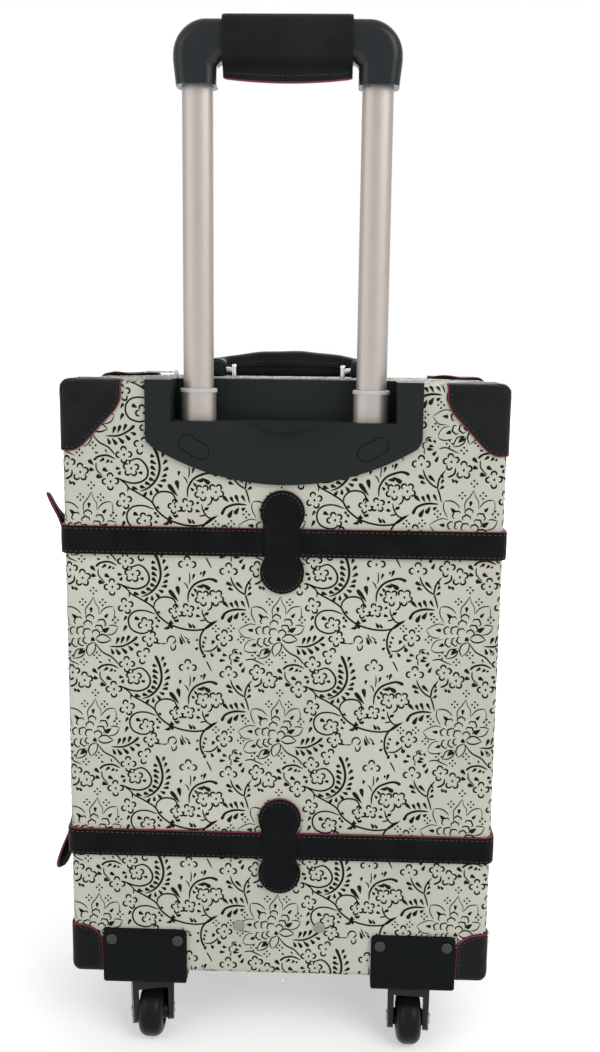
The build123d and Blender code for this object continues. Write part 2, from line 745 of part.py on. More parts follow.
with BuildPart() as tube_foot_bracket:
    with BuildSketch(back_plane(FOOT_Y)):
        with Locations((0, BOTTOM + (FOOT_H + FOOT_TOP_H) / 2)):
            RectangleRounded(TUBE_PITCH + CUP_W, FOOT_TOP_H - FOOT_H, 5)
    extrude(amount=-FOOT_PLATE)
    with BuildSketch(level(BOTTOM + FOOT_H)):
        with Locations((-TUBE_X, (FOOT_Y + CUP_BACK) / 2), (TUBE_X, (FOOT_Y + CUP_BACK) / 2)):
            RectangleRounded(CUP_W, CUP_BACK - FOOT_Y, 4)
    extrude(amount=FOOT_TOP_H - FOOT_H)
    with BuildSketch(level(BOTTOM + OUTER_LOW)):
        with Locations((-TUBE_X, TUBE_Y), (TUBE_X, TUBE_Y)):
            oval(OUTER_W + 2 * SEAT, OUTER_D + 2 * SEAT)
    extrude(amount=FOOT_TOP_H, mode=Mode.SUBTRACT)
    with BuildSketch(back_plane(FOOT_Y)):
        with Locations(*PANEL_SPOTS):
            Circle(RIVET_R + SLIDE_FIT)
    extrude(amount=-2 * FOOT_PLATE, mode=Mode.SUBTRACT)
save(tube_foot_bracket.part, "tube_foot_bracket")


def rivets(spots, outer_y, inner_y):
    """Low-domed rivets through the panel, headed outside and inside."""
    out = 1 if outer_y < inner_y else -1
    with BuildPart() as heads:
        with BuildSketch(back_plane(outer_y)):
            with Locations(*spots):
                Circle(RIVET_HEAD_R)
        extrude(amount=out * RIVET_HEAD_T)
        domes = heads.faces().group_by(Axis.Y)[0 if out > 0 else -1]
        fillet(domes.edges(), RIVET_HEAD_T * 0.8)
        with BuildSketch(back_plane(outer_y)):
            with Locations(*spots):
                Circle(RIVET_R)
        extrude(amount=-out * abs(inner_y - outer_y))
        with BuildSketch(back_plane(inner_y)):
            with Locations(*spots):
                Circle(RIVET_HEAD_R - 1)
        extrude(amount=-out)
    return heads.part


save(rivets(PANEL_SPOTS, BACK_Y, FOOT_Y + FOOT_PLATE), "panel_rivets")

with BuildPart() as tube_collars:
    with BuildSketch(level(BOTTOM + MIDDLE_HIGH)):
        with Locations((-TUBE_X, TUBE_Y), (TUBE_X, TUBE_Y)):
            oval(MIDDLE_W + 2 * COLLAR_PROUD, MIDDLE_D + 2 * COLLAR_PROUD)
    extrude(amount=COLLAR_LIP)
    lips = tube_collars.faces().group_by(Axis.Z)[-1]
    fillet(lips.edges(), COLLAR_LIP / 3)
    with BuildSketch(level(BOTTOM + MIDDLE_HIGH - COLLAR_SKIRT)):
        with Locations((-TUBE_X, TUBE_Y), (TUBE_X, TUBE_Y)):
            oval(MIDDLE_BORE_W - 2 * SLIDE_FIT, MIDDLE_BORE_D - 2 * SLIDE_FIT)
    extrude(amount=COLLAR_SKIRT)
    with BuildSketch(level(BOTTOM + MIDDLE_HIGH - COLLAR_SKIRT)):
        with Locations((-TUBE_X, TUBE_Y), (TUBE_X, TUBE_Y)):
            oval(INNER_W + 2 * SLIDE_FIT, INNER_D + 2 * SLIDE_FIT)
    extrude(amount=2 * COLLAR_SKIRT, mode=Mode.SUBTRACT)
save(tube_collars.part, "tube_collars")

with BuildPart() as middle_guides:
    with BuildSketch(level(BOTTOM + MIDDLE_BOTTOM_H - GUIDE_L)):
        with Locations((-TUBE_X, TUBE_Y), (TUBE_X, TUBE_Y)):
            oval(
                MIDDLE_W + 2 * (BORE_PLAY - SLIDE_FIT),
                MIDDLE_D + 2 * (BORE_PLAY - SLIDE_FIT),
            )
    extrude(amount=GUIDE_L)
    with BuildSketch(level(BOTTOM + MIDDLE_BOTTOM_H)):
        with Locations((-TUBE_X, TUBE_Y), (TUBE_X, TUBE_Y)):
            oval(MIDDLE_BORE_W - 2 * SLIDE_FIT, MIDDLE_BORE_D - 2 * SLIDE_FIT)
    extrude(amount=GUIDE_SPIGOT)
save(middle_guides.part, "middle_guides")


# Latch blocks on the inner tubes, the latches and the rods that draw them in

BLOCK_LOW = INNER_BOTTOM_H - LATCH_BLOCK_L
ROD_LOW = LATCH_CENTRE_H - ROD_OUT
ROD_Y = TUBE_Y + ROD_BACK
PINS = [(s * (TUBE_X + ROD_OUT), s) for s in (-1, 1)]

with BuildPart() as inner_guides:
    with BuildSketch(level(BOTTOM + BLOCK_LOW)):
        with Locations((-TUBE_X, TUBE_Y), (TUBE_X, TUBE_Y)):
            oval(MIDDLE_BORE_W - 2 * SLIDE_FIT, MIDDLE_BORE_D - 2 * SLIDE_FIT)
    extrude(amount=LATCH_BLOCK_L)
    with BuildSketch(level(BOTTOM + INNER_BOTTOM_H)):
        with Locations((-TUBE_X, TUBE_Y), (TUBE_X, TUBE_Y)):
            oval(INNER_BORE_W - 2 * SLIDE_FIT, INNER_BORE_D - 2 * SLIDE_FIT)
    extrude(amount=GUIDE_SPIGOT)
    for x, side in PINS:
        with BuildSketch(side_plane(side * (TUBE_X + LATCH_TAIL - PRESS_TRAVEL - SEAT))):
            with Locations((TUBE_Y, LATCH_Z)):
                Rectangle(LATCH_T + 2 * SLIDE_FIT, LATCH_H + 2 * SLIDE_FIT)
        extrude(amount=side * MIDDLE_W, mode=Mode.SUBTRACT)
        with BuildSketch(level(BOTTOM + ROD_LOW - PRESS_TRAVEL - 1)):
            with Locations((x, ROD_Y)):
                Circle(ROD_R + SLIDE_FIT)
        extrude(amount=2 * LATCH_BLOCK_L, mode=Mode.SUBTRACT)
        with BuildSketch(level(LATCH_Z - PRESS_TRAVEL - CROSS_PIN_R - SEAT)):
            with Locations((x, (TUBE_Y + ROD_Y) / 2)):
                Rectangle(2 * (CROSS_PIN_R + SEAT), ROD_Y - TUBE_Y)
        extrude(amount=PRESS_TRAVEL + 2 * (CROSS_PIN_R + SEAT), mode=Mode.SUBTRACT)
save(inner_guides.part, "inner_guides")

for (x, side), word in zip(PINS, ("left", "right")):
    tail = side * (TUBE_X + LATCH_TAIL)
    tip = side * (TUBE_X + MIDDLE_BORE_W / 2 - LATCH_TIP_GAP)
    with BuildPart() as latch:
        with BuildSketch(back_plane(TUBE_Y + LATCH_T / 2)):
            with Locations(((tail + tip) / 2, LATCH_Z)):
                Rectangle(abs(tip - tail), LATCH_H)
            with Locations((x + side * PRESS_TRAVEL / 2, LATCH_Z - PRESS_TRAVEL / 2)):
                SlotOverall(
                    PRESS_TRAVEL * 2**0.5 + 2 * (CROSS_PIN_R + SLIDE_FIT),
                    2 * (CROSS_PIN_R + SLIDE_FIT),
                    rotation=-45 * side,
                    mode=Mode.SUBTRACT,
                )
        extrude(amount=LATCH_T)
    save(latch.part, f"latch_{word}")

with BuildPart() as push_rods:
    for x, side in PINS:
        with BuildSketch(level(BOTTOM + ROD_LOW)):
            with Locations((x, ROD_Y)):
                Circle(ROD_R)
        extrude(amount=YOKE_H - ROD_LOW)
        with BuildSketch(back_plane(ROD_Y)):
            with Locations((x, LATCH_Z)):
                Circle(CROSS_PIN_R)
        extrude(amount=ROD_BACK + LATCH_T / 2)
save(push_rods.part, "push_rods")


# Grip, in two moulded halves around the yoke, with its leather wrap

GRIP_Z = BOTTOM + GRIP_TOP_H
UNDER_Z = BOTTOM + GRIP_UNDER_H
SKIRT_Z = BOTTOM + SKIRT_H
SKIRT_IN = GRIP_W / 2 - SKIRT_TAPER - SKIRT_W
CAVITY_Z = BOTTOM + TUBE_SEAT_H + SEAT


def grip_outline(half, top, corner):
    """The grip's bar with a skirt down each tube, as a face seen from the back."""
    with BuildSketch() as outline:
        with BuildLine():
            Polyline(
                (0, top),
                (half, top),
                (half, BOTTOM + SHOULDER_H),
                (half - SKIRT_TAPER, SKIRT_Z),
                (SKIRT_IN, SKIRT_Z),
                (SKIRT_IN, UNDER_Z),
                (0, UNDER_Z),
                (0, top),
            )
        make_face()
        corners = outline.vertices().sort_by(Axis.X)
        fillet(corners.filter_by(lambda v: v.X > half - 0.1 and v.Y > top - 0.1), corner)
        crook = outline.vertices().filter_by(
            lambda v: abs(v.X - SKIRT_IN) < 0.1 and v.Y > UNDER_Z - 0.1
        )
        fillet(crook, GRIP_CROOK_R)
        mirror(about=Plane.YZ)
    return outline.sketch


GRIP_OUTLINE = grip_outline(GRIP_W / 2, GRIP_Z, GRIP_SHOULDER_R)

with BuildPart() as grip_body:
    with BuildSketch(back_plane(TUBE_Y - GRIP_D / 2)):
        add(GRIP_OUTLINE)
    extrude(amount=-GRIP_D)
    sides = grip_body.faces().sort_by(Axis.Y)
    outer = sides[0].edges() + sides[-1].edges()
    fillet(outer.filter_by(lambda e: e.center().Z > SKIRT_Z + 1), GRIP_EDGE_R)
    cavity_top = GRIP_Z - GRIP_WALL
    with BuildSketch(level(CAVITY_Z)):
        with Locations((0, TUBE_Y)):
            RectangleRounded(GRIP_W - 4 * GRIP_WALL, GRIP_D - 2 * GRIP_WALL, 6)
    extrude(amount=cavity_top - CAVITY_Z - GRIP_EDGE_R, mode=Mode.SUBTRACT)
    with BuildSketch(level(CAVITY_Z)):
        with Locations((0, TUBE_Y)):
            RectangleRounded(
                GRIP_W - 2 * GRIP_SHOULDER_R,
                GRIP_D - 2 * GRIP_EDGE_R,
                4,
            )
    extrude(amount=cavity_top - CAVITY_Z, mode=Mode.SUBTRACT)
    with BuildSketch(level(SKIRT_Z - 1)):
        with Locations((-TUBE_X, TUBE_Y), (TUBE_X, TUBE_Y)):
            oval(INNER_W + 2 * SEAT, INNER_D + 2 * SEAT)
    extrude(amount=TUBE_SEAT_H - SKIRT_H + 1 + SEAT, mode=Mode.SUBTRACT)
    with BuildSketch(level(CAVITY_Z)):
        with Locations((0, TUBE_Y)):
            RectangleRounded(BUTTON_L + 2 * SLIDE_FIT, BUTTON_D + 2 * SLIDE_FIT, 3)
    extrude(amount=CASE_H, mode=Mode.SUBTRACT)

for name, edge_y, toward in (
    ("grip_back_half", TUBE_Y - GRIP_D, 1),
    ("grip_front_half", TUBE_Y, 1),
):
    with BuildPart() as half_grip:
        add(grip_body.part)
        with BuildSketch(back_plane(edge_y)):
            with Locations((0, BOTTOM + GRIP_UNDER_H)):
                Rectangle(2 * GRIP_W, 2 * GRIP_W)
        extrude(amount=-GRIP_D, mode=Mode.INTERSECT)
    save(half_grip.part, name)

WRAP_IN_D = GRIP_D + 2 * WRAP_GAP
BAR_H = GRIP_TOP_H - GRIP_UNDER_H
WRAP_IN_H = BAR_H + 2 * WRAP_GAP

with BuildPart() as grip_wrap:
    with BuildSketch(side_plane(-WRAP_L / 2)):
        with Locations((TUBE_Y, (GRIP_Z + UNDER_Z) / 2)):
            RectangleRounded(
                WRAP_IN_D + 2 * WRAP_T,
                WRAP_IN_H + 2 * WRAP_T,
                GRIP_EDGE_R + WRAP_GAP + WRAP_T,
            )
        with BuildLine():
            wide = WRAP_IN_D / 2 - 1
            top = UNDER_Z + 2
            fin = BOTTOM + WRAP_FIN_H
            Spline(
                (TUBE_Y - wide, top),
                (TUBE_Y - wide / 2.4, fin + 6),
                (TUBE_Y - WRAP_T, fin + 1),
            )
            Line((TUBE_Y - WRAP_T, fin + 1), (TUBE_Y - WRAP_T + 1, fin))
            Line((TUBE_Y - WRAP_T + 1, fin), (TUBE_Y + WRAP_T - 1, fin))
            Line((TUBE_Y + WRAP_T - 1, fin), (TUBE_Y + WRAP_T, fin + 1))
            Spline(
                (TUBE_Y + WRAP_T, fin + 1),
                (TUBE_Y + wide / 2.4, fin + 6),
                (TUBE_Y + wide, top),
            )
            Line((TUBE_Y + wide, top), (TUBE_Y - wide, top))
        make_face()
        with Locations((TUBE_Y, (GRIP_Z + UNDER_Z) / 2)):
            RectangleRounded(
                WRAP_IN_D,
                WRAP_IN_H,
                GRIP_EDGE_R + WRAP_GAP,
                mode=Mode.SUBTRACT,
            )
    extrude(amount=WRAP_L)
    with BuildSketch(level(GRIP_Z)):
        with Locations((0, TUBE_Y)):
            RectangleRounded(BUTTON_L + 2, BUTTON_D + 2, 4)
    extrude(amount=4 * WRAP_T, mode=Mode.SUBTRACT)
save(grip_wrap.part, "grip_wrap")

with BuildPart() as release_button:
    with BuildSketch(level(BOTTOM + YOKE_H)):
        with Locations((0, TUBE_Y)):
            RectangleRounded(TUBE_PITCH + 4 * ROD_OUT, YOKE_D, 3)
    extrude(amount=YOKE_T)
    with BuildSketch(level(BOTTOM + YOKE_H + YOKE_T)):
        with Locations((0, TUBE_Y)):
            RectangleRounded(BUTTON_L, BUTTON_D, 3)
    extrude(amount=GRIP_TOP_H + WRAP_GAP + WRAP_T - YOKE_H - YOKE_T)
    crest = release_button.faces().sort_by(Axis.Z)[-1]
    fillet(crest.edges(), 1)
save(release_button.part, "release_button")


# Carry handle on the top, swinging on its two posts

PIVOT_Z = TOP + CARRY_PIVOT_RISE
CARRY_BACK = CARRY_PIVOT_Y - CARRY_HEEL
CARRY_FRONT = CARRY_PIVOT_Y + CARRY_D + CARRY_D
CARRY_IN = CARRY_L / 2 - CARRY_ARM_W
POST_X = CARRY_IN - POST_R - POST_GAP - 1.6

with BuildPart() as carry_handle:
    with BuildSketch(back_plane(CARRY_BACK)):
        with BuildLine():
            Line((-CARRY_L / 2, TOP + CARRY_END_RISE), (-CARRY_L / 2, TOP + CARRY_UNDER))
            Line((-CARRY_L / 2, TOP + CARRY_UNDER), (CARRY_L / 2, TOP + CARRY_UNDER))
            Line((CARRY_L / 2, TOP + CARRY_UNDER), (CARRY_L / 2, TOP + CARRY_END_RISE))
            ThreePointArc(
                (CARRY_L / 2, TOP + CARRY_END_RISE),
                (0, TOP + CARRY_RISE),
                (-CARRY_L / 2, TOP + CARRY_END_RISE),
            )
        make_face()
    extrude(amount=CARRY_BACK - CARRY_FRONT)
    with BuildSketch(level(TOP)):
        with Locations((0, CARRY_BACK)):
            RectangleRounded(2 * CARRY_IN, 2 * (CARRY_D + CARRY_HEEL), 6)
    extrude(amount=2 * CARRY_RISE, mode=Mode.SUBTRACT)
    uprights = carry_handle.edges().filter_by(Axis.Z)
    fillet(uprights.filter_by(lambda e: e.center().Y > CARRY_FRONT - 1), CARRY_CORNER_R)
    heels = carry_handle.edges().filter_by(Axis.Z)
    fillet(heels.filter_by(lambda e: e.center().Y < CARRY_BACK + 1), CARRY_HEEL_R)
    level_edges = carry_handle.faces().sort_by(Axis.Z)
    fillet(level_edges[0].edges(), 3)
    crown = carry_handle.faces().sort_by(Axis.Z)[-1]
    fillet(crown.edges(), 4.5)
    with BuildSketch(side_plane(-CARRY_L)):
        with Locations((CARRY_PIVOT_Y - CARRY_HEEL, PIVOT_Z + CARRY_RISE / 2)):
            Rectangle(2 * CARRY_HEEL, CARRY_RISE)
        with Locations((CARRY_PIVOT_Y, PIVOT_Z)):
            Circle(CARRY_HEEL_ROUND, mode=Mode.SUBTRACT)
    extrude(amount=2 * CARRY_L, mode=Mode.SUBTRACT)
    with BuildSketch(side_plane(POST_X + CARRY_PIN_L + SEAT)):
        with Locations((CARRY_PIVOT_Y, PIVOT_Z)):
            Circle(CARRY_PIN_R + KINGPIN_FIT)
    extrude(amount=-2 * (POST_X + CARRY_PIN_L + SEAT), mode=Mode.SUBTRACT)
save(carry_handle.part, "carry_handle")

with BuildPart() as carry_handle_posts:
    with BuildSketch(level(TOP + SEAT)):
        with Locations(*[(s * (POST_X - 0.5), CARRY_PIVOT_Y) for s in (-1, 1)]):
            RectangleRounded(POST_BASE_W, POST_BASE_D, 2)
    extrude(amount=POST_BASE_T)
    with BuildSketch(level(TOP + SEAT)):
        with Locations((-POST_X, CARRY_PIVOT_Y), (POST_X, CARRY_PIVOT_Y)):
            Circle(POST_R)
    extrude(amount=CARRY_PIVOT_RISE + 4.5 - SEAT)
    tips = carry_handle_posts.faces().group_by(Axis.Z)[-1]
    fillet(tips.edges(), 1.8)
    for side in (-1, 1):
        with BuildSketch(side_plane(side * POST_X)):
            with Locations((CARRY_PIVOT_Y, PIVOT_Z)):
                Circle(CARRY_PIN_R)
        extrude(amount=side * CARRY_PIN_L)
save(carry_handle_posts.part, "carry_handle_posts")


# Casters: bracket, kingpin, fork, axle and wheel at each lower corner

BRACKET_BACK = BACK_Y - SEAT - BRACKET_T
BASE_TOP = BOTTOM - SEAT
BASE_LOW = BASE_TOP - BASE_T
BOSS_LOW = BASE_TOP - BASE_BOSS_T
FORK_TOP = BOSS_LOW - SWIVEL_GAP
CROWN_LOW = FORK_TOP - CROWN_T
TYRE_GAP_R = WHEEL_R + FORK_CLEAR
CAVITY_W = FORK_W - 2 * FORK_LEG
HUB_W = CAVITY_W - 2 * SWIVEL_GAP

with BuildPart() as bracket_master:
    with BuildSketch(side_plane(-BRACKET_W / 2)) as profile:
        with BuildLine():
            Polyline(
                (BRACKET_BACK, BOTTOM + BRACKET_H),
                (BACK_Y - SEAT, BOTTOM + BRACKET_H),
                (BACK_Y - SEAT, BASE_TOP),
                (BRACKET_BACK + BASE_L, BASE_TOP),
                (BRACKET_BACK + BASE_L, BASE_LOW),
                (BRACKET_BACK, BASE_LOW),
                (BRACKET_BACK, BOTTOM + BRACKET_H),
            )
        make_face()
        inner = profile.vertices().filter_by(
            lambda v: abs(v.X - BACK_Y + SEAT) < 0.1 and abs(v.Y - BASE_TOP) < 0.1
        )
        fillet(inner, RIM_R + SEAT)
    extrude(amount=BRACKET_W)
    ears = bracket_master.edges().filter_by(Axis.Y)
    fillet(ears.filter_by(lambda e: e.center().Z > BOTTOM + BRACKET_H - 1), 4)
    toes = bracket_master.edges().filter_by(Axis.Z)
    fillet(toes.filter_by(lambda e: e.center().Y > BRACKET_BACK + BASE_L - 1), 8)
    sole = bracket_master.faces().sort_by(Axis.Z)[0]
    fillet(sole.edges(), 5)
    with BuildSketch(level(BASE_TOP - BASE_T / 2)):
        with Locations((0, -CASTER_Y)):
            Circle(BASE_BOSS_R)
    extrude(amount=BASE_T / 2 - BASE_BOSS_T)
    with BuildSketch(level(BOTTOM)):
        with Locations((0, -CASTER_Y)):
            Circle(KINGPIN_R + KINGPIN_FIT)
    extrude(amount=-2 * BASE_BOSS_T, mode=Mode.SUBTRACT)
    with BuildSketch(back_plane(BRACKET_BACK)):
        with Locations(*[(s * RIVET_SPREAD, BOTTOM + RIVET_H) for s in (-1, 1)]):
            Circle(RIVET_R + SLIDE_FIT)
    extrude(amount=-2 * BRACKET_T, mode=Mode.SUBTRACT)

with BuildPart() as fork_master:
    with BuildSketch(side_plane(-FORK_W / 2)) as cheek:
        with Locations((-TRAIL, WHEEL_R)):
            Circle(FORK_END_R)
        with Locations((0, (FORK_TOP + CROWN_LOW) / 2)):
            Rectangle(2 * FORK_CROWN_R, CROWN_T)
        make_hull()
    extrude(amount=FORK_W)
    with BuildSketch(level(0)):
        with Locations((0, -TRAIL / 2)):
            RectangleRounded(FORK_W, 2 * FORK_CROWN_R + TRAIL, 14)
    extrude(amount=FORK_TOP, mode=Mode.INTERSECT)
    with BuildSketch(side_plane(-CAVITY_W / 2)):
        with Locations((-TRAIL, WHEEL_R)):
            Circle(TYRE_GAP_R)
    extrude(amount=CAVITY_W, mode=Mode.SUBTRACT)
    with BuildSketch(level(CROWN_LOW)):
        Circle(KINGPIN_HEAD_R + SWIVEL_GAP)
    extrude(amount=-CROWN_LOW / 2, mode=Mode.SUBTRACT)
    with BuildSketch(level(0)):
        Circle(KINGPIN_R + KINGPIN_FIT)
    extrude(amount=2 * FORK_TOP, mode=Mode.SUBTRACT)
    with BuildSketch(side_plane(-FORK_W)):
        with Locations((-TRAIL, WHEEL_R)):
            Circle(AXLE_R + AXLE_FIT)
    extrude(amount=2 * FORK_W, mode=Mode.SUBTRACT)

with BuildPart() as axle_master:
    with BuildSketch(side_plane(-FORK_W / 2)):
        with Locations((-TRAIL, WHEEL_R)):
            Circle(AXLE_R)
    extrude(amount=FORK_W)
    for side in (-1, 1):
        with BuildSketch(side_plane(side * FORK_W / 2)):
            with Locations((-TRAIL, WHEEL_R)):
                Circle(AXLE_HEAD_R)
        extrude(amount=side * AXLE_HEAD_T)
    heads = axle_master.faces().group_by(Axis.X)
    fillet(heads[0].edges() + heads[-1].edges(), 0.6)

with BuildPart() as wheel_master:
    with BuildSketch(side_plane(-WHEEL_W / 2)):
        with Locations((-TRAIL, WHEEL_R)):
            Circle(WHEEL_R)
    extrude(amount=WHEEL_W)
    flanks = wheel_master.faces().group_by(Axis.X)
    fillet(flanks[0].edges() + flanks[-1].edges(), WHEEL_SHOULDER_R)
    with BuildSketch(side_plane(-HUB_W / 2)):
        with Locations((-TRAIL, WHEEL_R)):
            Circle(HUB_R)
    extrude(amount=HUB_W)
    with BuildSketch(side_plane(-FORK_W)):
        with Locations((-TRAIL, WHEEL_R)):
            Circle(AXLE_R + AXLE_FIT)
    extrude(amount=2 * FORK_W, mode=Mode.SUBTRACT)

for word, (side, end, swivel) in SWIVELS.items():
    bracket = bracket_master.part if end < 0 else mirror(bracket_master.part, about=Plane.XZ)
    save(Pos(side * CASTER_X, 0, 0) * bracket, f"caster_bracket_{word}")
    place = Pos(side * CASTER_X, end * CASTER_Y, 0) * Rot(0, 0, swivel)
    save(place * fork_master.part, f"caster_fork_{word}")
    save(place * axle_master.part, f"caster_axle_{word}")
    save(place * wheel_master.part, f"caster_wheel_{word}")

with BuildPart() as kingpins:
    spots = [(s * CASTER_X, e * CASTER_Y) for s in (-1, 1) for e in (-1, 1)]
    with BuildSketch(level(BASE_TOP - 1)):
        with Locations(*spots):
            Circle(KINGPIN_R)
    extrude(amount=CROWN_LOW - SWIVEL_GAP - BASE_TOP + 1)
    with BuildSketch(level(CROWN_LOW - SWIVEL_GAP)):
        with Locations(*spots):
            Circle(KINGPIN_HEAD_R)
    extrude(amount=-KINGPIN_HEAD_T)
save(kingpins.part, "kingpins")

with BuildPart() as caster_rivets:
    add(rivets(BRACKET_SPOTS, BRACKET_BACK, BACK_Y + WALL))
    add(rivets(BRACKET_SPOTS, -BRACKET_BACK, FRONT_Y - WALL))
save(caster_rivets.part, "caster_rivets")

with BuildPart() as side_studs:
    with BuildSketch(side_plane(CASE_W / 2 + 2 * SEAT + PATCH_T)):
        with Locations(*[(s * STUD_Y, BOTTOM + STUD_H) for s in (-1, 1)]):
            Circle(STUD_R)
    extrude(amount=STUD_T)
    domes = side_studs.faces().group_by(Axis.X)[-1]
    fillet(domes.edges(), STUD_T * 0.9)
save(side_studs.part, "side_studs")


# Line print, thin flat motifs on the back panel, repeated across and down

def scallop(radius, petals, notch):
    """A flower's outline: blunt petals with a notch between each two."""
    points = []
    for k in range(petals):
        for share, reach in ((-0.25, 1.0), (0.25, 1.0), (0.5, notch)):
            turn = radians(360 * (k + share) / petals)
            points.append((reach * radius * cos(turn), reach * radius * sin(turn)))
    return points


def arc_strip(radius, start, end, steps):
    """A curved stem's outline, tapering to its end."""
    turns = [radians(start + (end - start) * k / steps) for k in range(steps + 1)]
    widths = [PRINT_LINE * (1 - 0.6 * k / steps) for k in range(steps + 1)]
    outer = [((radius + w / 2) * cos(t), (radius + w / 2) * sin(t)) for t, w in zip(turns, widths)]
    inner = [((radius - w / 2) * cos(t), (radius - w / 2) * sin(t)) for t, w in zip(turns, widths)]
    return outer + inner[::-1]


def leaf(turn):
    """A leaf's outline, widest before its middle, pointing along a turn in degrees."""
    c, s = cos(radians(turn)), sin(radians(turn))
    along = [(-LEAF_L / 2, 0), (-LEAF_L / 8, LEAF_W / 2), (LEAF_L / 2, 0), (-LEAF_L / 8, -LEAF_W / 2)]
    return [(a * c - b * s, a * s + b * c) for a, b in along]


def inked(outline, hole=()):
    """A flat motif of the print's thickness, around the middle of the panel's plane."""
    y = BACK_Y - PRINT_LIFT
    rim = Wire.make_polygon([Vector(x, y, z) for x, z in outline], close=True)
    cut = [Wire.make_polygon([Vector(x, y, z) for x, z in hole], close=True)] if hole else []
    return extrude(Face(rim, cut), amount=PRINT_T, dir=(0, -1, 0))


def printable(x, z, reach):
    """Whether a motif lies on the flat of the panel, clear of its cut-outs and rivets."""
    inside = abs(x) + reach < CASE_W / 2 - RIM_R and abs(z - MID_Z) + reach < CASE_H / 2 - RIM_R
    under_bezel = abs(x) - reach < BEZEL_HALF and z + reach > SCOOP_HOLE_Z - 1
    riveted = any(
        (x - a) ** 2 + (z - b) ** 2 < (reach + RIVET_HEAD_R + SEAT) ** 2
        for a, b in BRACKET_SPOTS + PANEL_SPOTS
    )
    return inside and not under_bezel and not riveted


def ring_motif(radius, petals, notch):
    """A scalloped ring one line wide."""
    inner = 1 - PRINT_LINE / radius
    outline = scallop(radius, petals, notch)
    return inked(outline, [(x * inner, z * inner) for x, z in outline])


blossom = inked(scallop(BLOSSOM_R, 5, 0.62), scallop(BLOSSOM_R * 0.4, 2, 0.8))
stems = [
    (2.0 * BLOOM_R, -1.5 * BLOOM_R, 150, -70),
    (-2.7 * BLOOM_R, -0.4 * BLOOM_R, 30, 250),
]
motifs = [
    (0, 0, BLOOM_R, ring_motif(BLOOM_R, 9, 0.74)),
    (0, 0, BLOOM_HEART_R, ring_motif(BLOOM_HEART_R, 6, 0.74)),
    (stems[0][0], stems[0][1], BLOSSOM_R, blossom),
    (stems[1][0], stems[1][1], BLOSSOM_R, blossom),
    (-1.9 * BLOOM_R, 1.4 * BLOOM_R, BLOSSOM_R, blossom),
    (3.4 * BLOOM_R, 0.9 * BLOOM_R, BLOSSOM_R, blossom),
]
for x, z, start, end in stems:
    motifs.append((x, z, VINE_R, inked(arc_strip(VINE_R, start, end, 8))))
    for k in (1, 2, 3, 4):
        turn = start + (end - start) * k / 4.5
        beyond = VINE_R + LEAF_L * 0.8
        spot = (x + beyond * cos(radians(turn)), z + beyond * sin(radians(turn)))
        motifs.append((*spot, LEAF_L / 2, inked(leaf(turn + 25))))

columns = int(CASE_W / REPEAT_W / 2) + 1
rows = int(CASE_H / REPEAT_H) + 2
printed = []
for i in range(-columns, columns + 1):
    for j in range(-1, rows):
        for dx, dz, reach, solid in motifs:
            x = REPEAT_X + REPEAT_W * i + dx
            z = BOTTOM + REPEAT_START_H + REPEAT_H * j + dz
            if printable(x, z, reach):
                printed.append(Pos(x, 0, z) * solid)
floral_print = Compound(children=printed)
save(floral_print, "floral_print")
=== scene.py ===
"""A rolling suitcase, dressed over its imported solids: print, leather, zip, handle, casters."""

import itertools
import math

import bpy
import numpy as np
from bpy.props import FloatProperty, FloatVectorProperty, IntProperty, PointerProperty
from mathutils import Matrix, Vector


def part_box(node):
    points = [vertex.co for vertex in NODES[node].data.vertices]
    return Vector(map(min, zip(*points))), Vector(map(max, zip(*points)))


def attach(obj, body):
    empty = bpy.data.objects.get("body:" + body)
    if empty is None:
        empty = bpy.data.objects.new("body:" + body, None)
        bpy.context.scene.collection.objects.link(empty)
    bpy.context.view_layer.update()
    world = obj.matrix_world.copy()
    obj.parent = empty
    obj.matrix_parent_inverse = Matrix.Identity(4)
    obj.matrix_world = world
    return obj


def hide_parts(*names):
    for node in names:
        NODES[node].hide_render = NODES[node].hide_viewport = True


bl_info = {
    "name": "Rolling Suitcase",
    "version": (1, 0, 0),
    "blender": (4, 5, 0),
    "location": "View3D > Sidebar > Suitcase",
    "description": "Dresses the packed suitcase with its print, leather, zip and stage",
    "category": "Object",
}

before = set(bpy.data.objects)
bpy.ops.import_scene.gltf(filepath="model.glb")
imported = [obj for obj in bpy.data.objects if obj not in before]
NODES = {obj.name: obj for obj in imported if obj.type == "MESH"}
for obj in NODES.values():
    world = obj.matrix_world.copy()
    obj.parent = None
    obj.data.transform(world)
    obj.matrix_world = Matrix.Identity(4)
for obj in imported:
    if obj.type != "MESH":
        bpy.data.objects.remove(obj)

MM = 0.001


def box_of(node):
    """The lowest and highest corner of a node's box, in millimetres."""
    return (np.array(c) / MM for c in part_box(node))


# Sizes in millimetres, read from the frame's boxes
SHELL_LOW, SHELL_HIGH = box_of("back_shell")
LID_LOW, LID_HIGH = box_of("front_lid")
HALF_W = (SHELL_HIGH[0] - SHELL_LOW[0]) / 2
HALF_D = (LID_HIGH[1] - SHELL_LOW[1]) / 2
HALF_H = (SHELL_HIGH[2] - SHELL_LOW[2]) / 2
BOTTOM, TOP = SHELL_LOW[2], SHELL_HIGH[2]
MID_Z = (BOTTOM + TOP) / 2
SEAM_BACK, SEAM_FRONT = SHELL_HIGH[1], LID_LOW[1]
SEAM_Y = (SEAM_BACK + SEAM_FRONT) / 2
RIM_R = 6.0
CORE_LOW = np.array([-HALF_W + RIM_R, -HALF_D + RIM_R, BOTTOM + RIM_R])
CORE_HIGH = np.array([HALF_W - RIM_R, HALF_D - RIM_R, TOP - RIM_R])

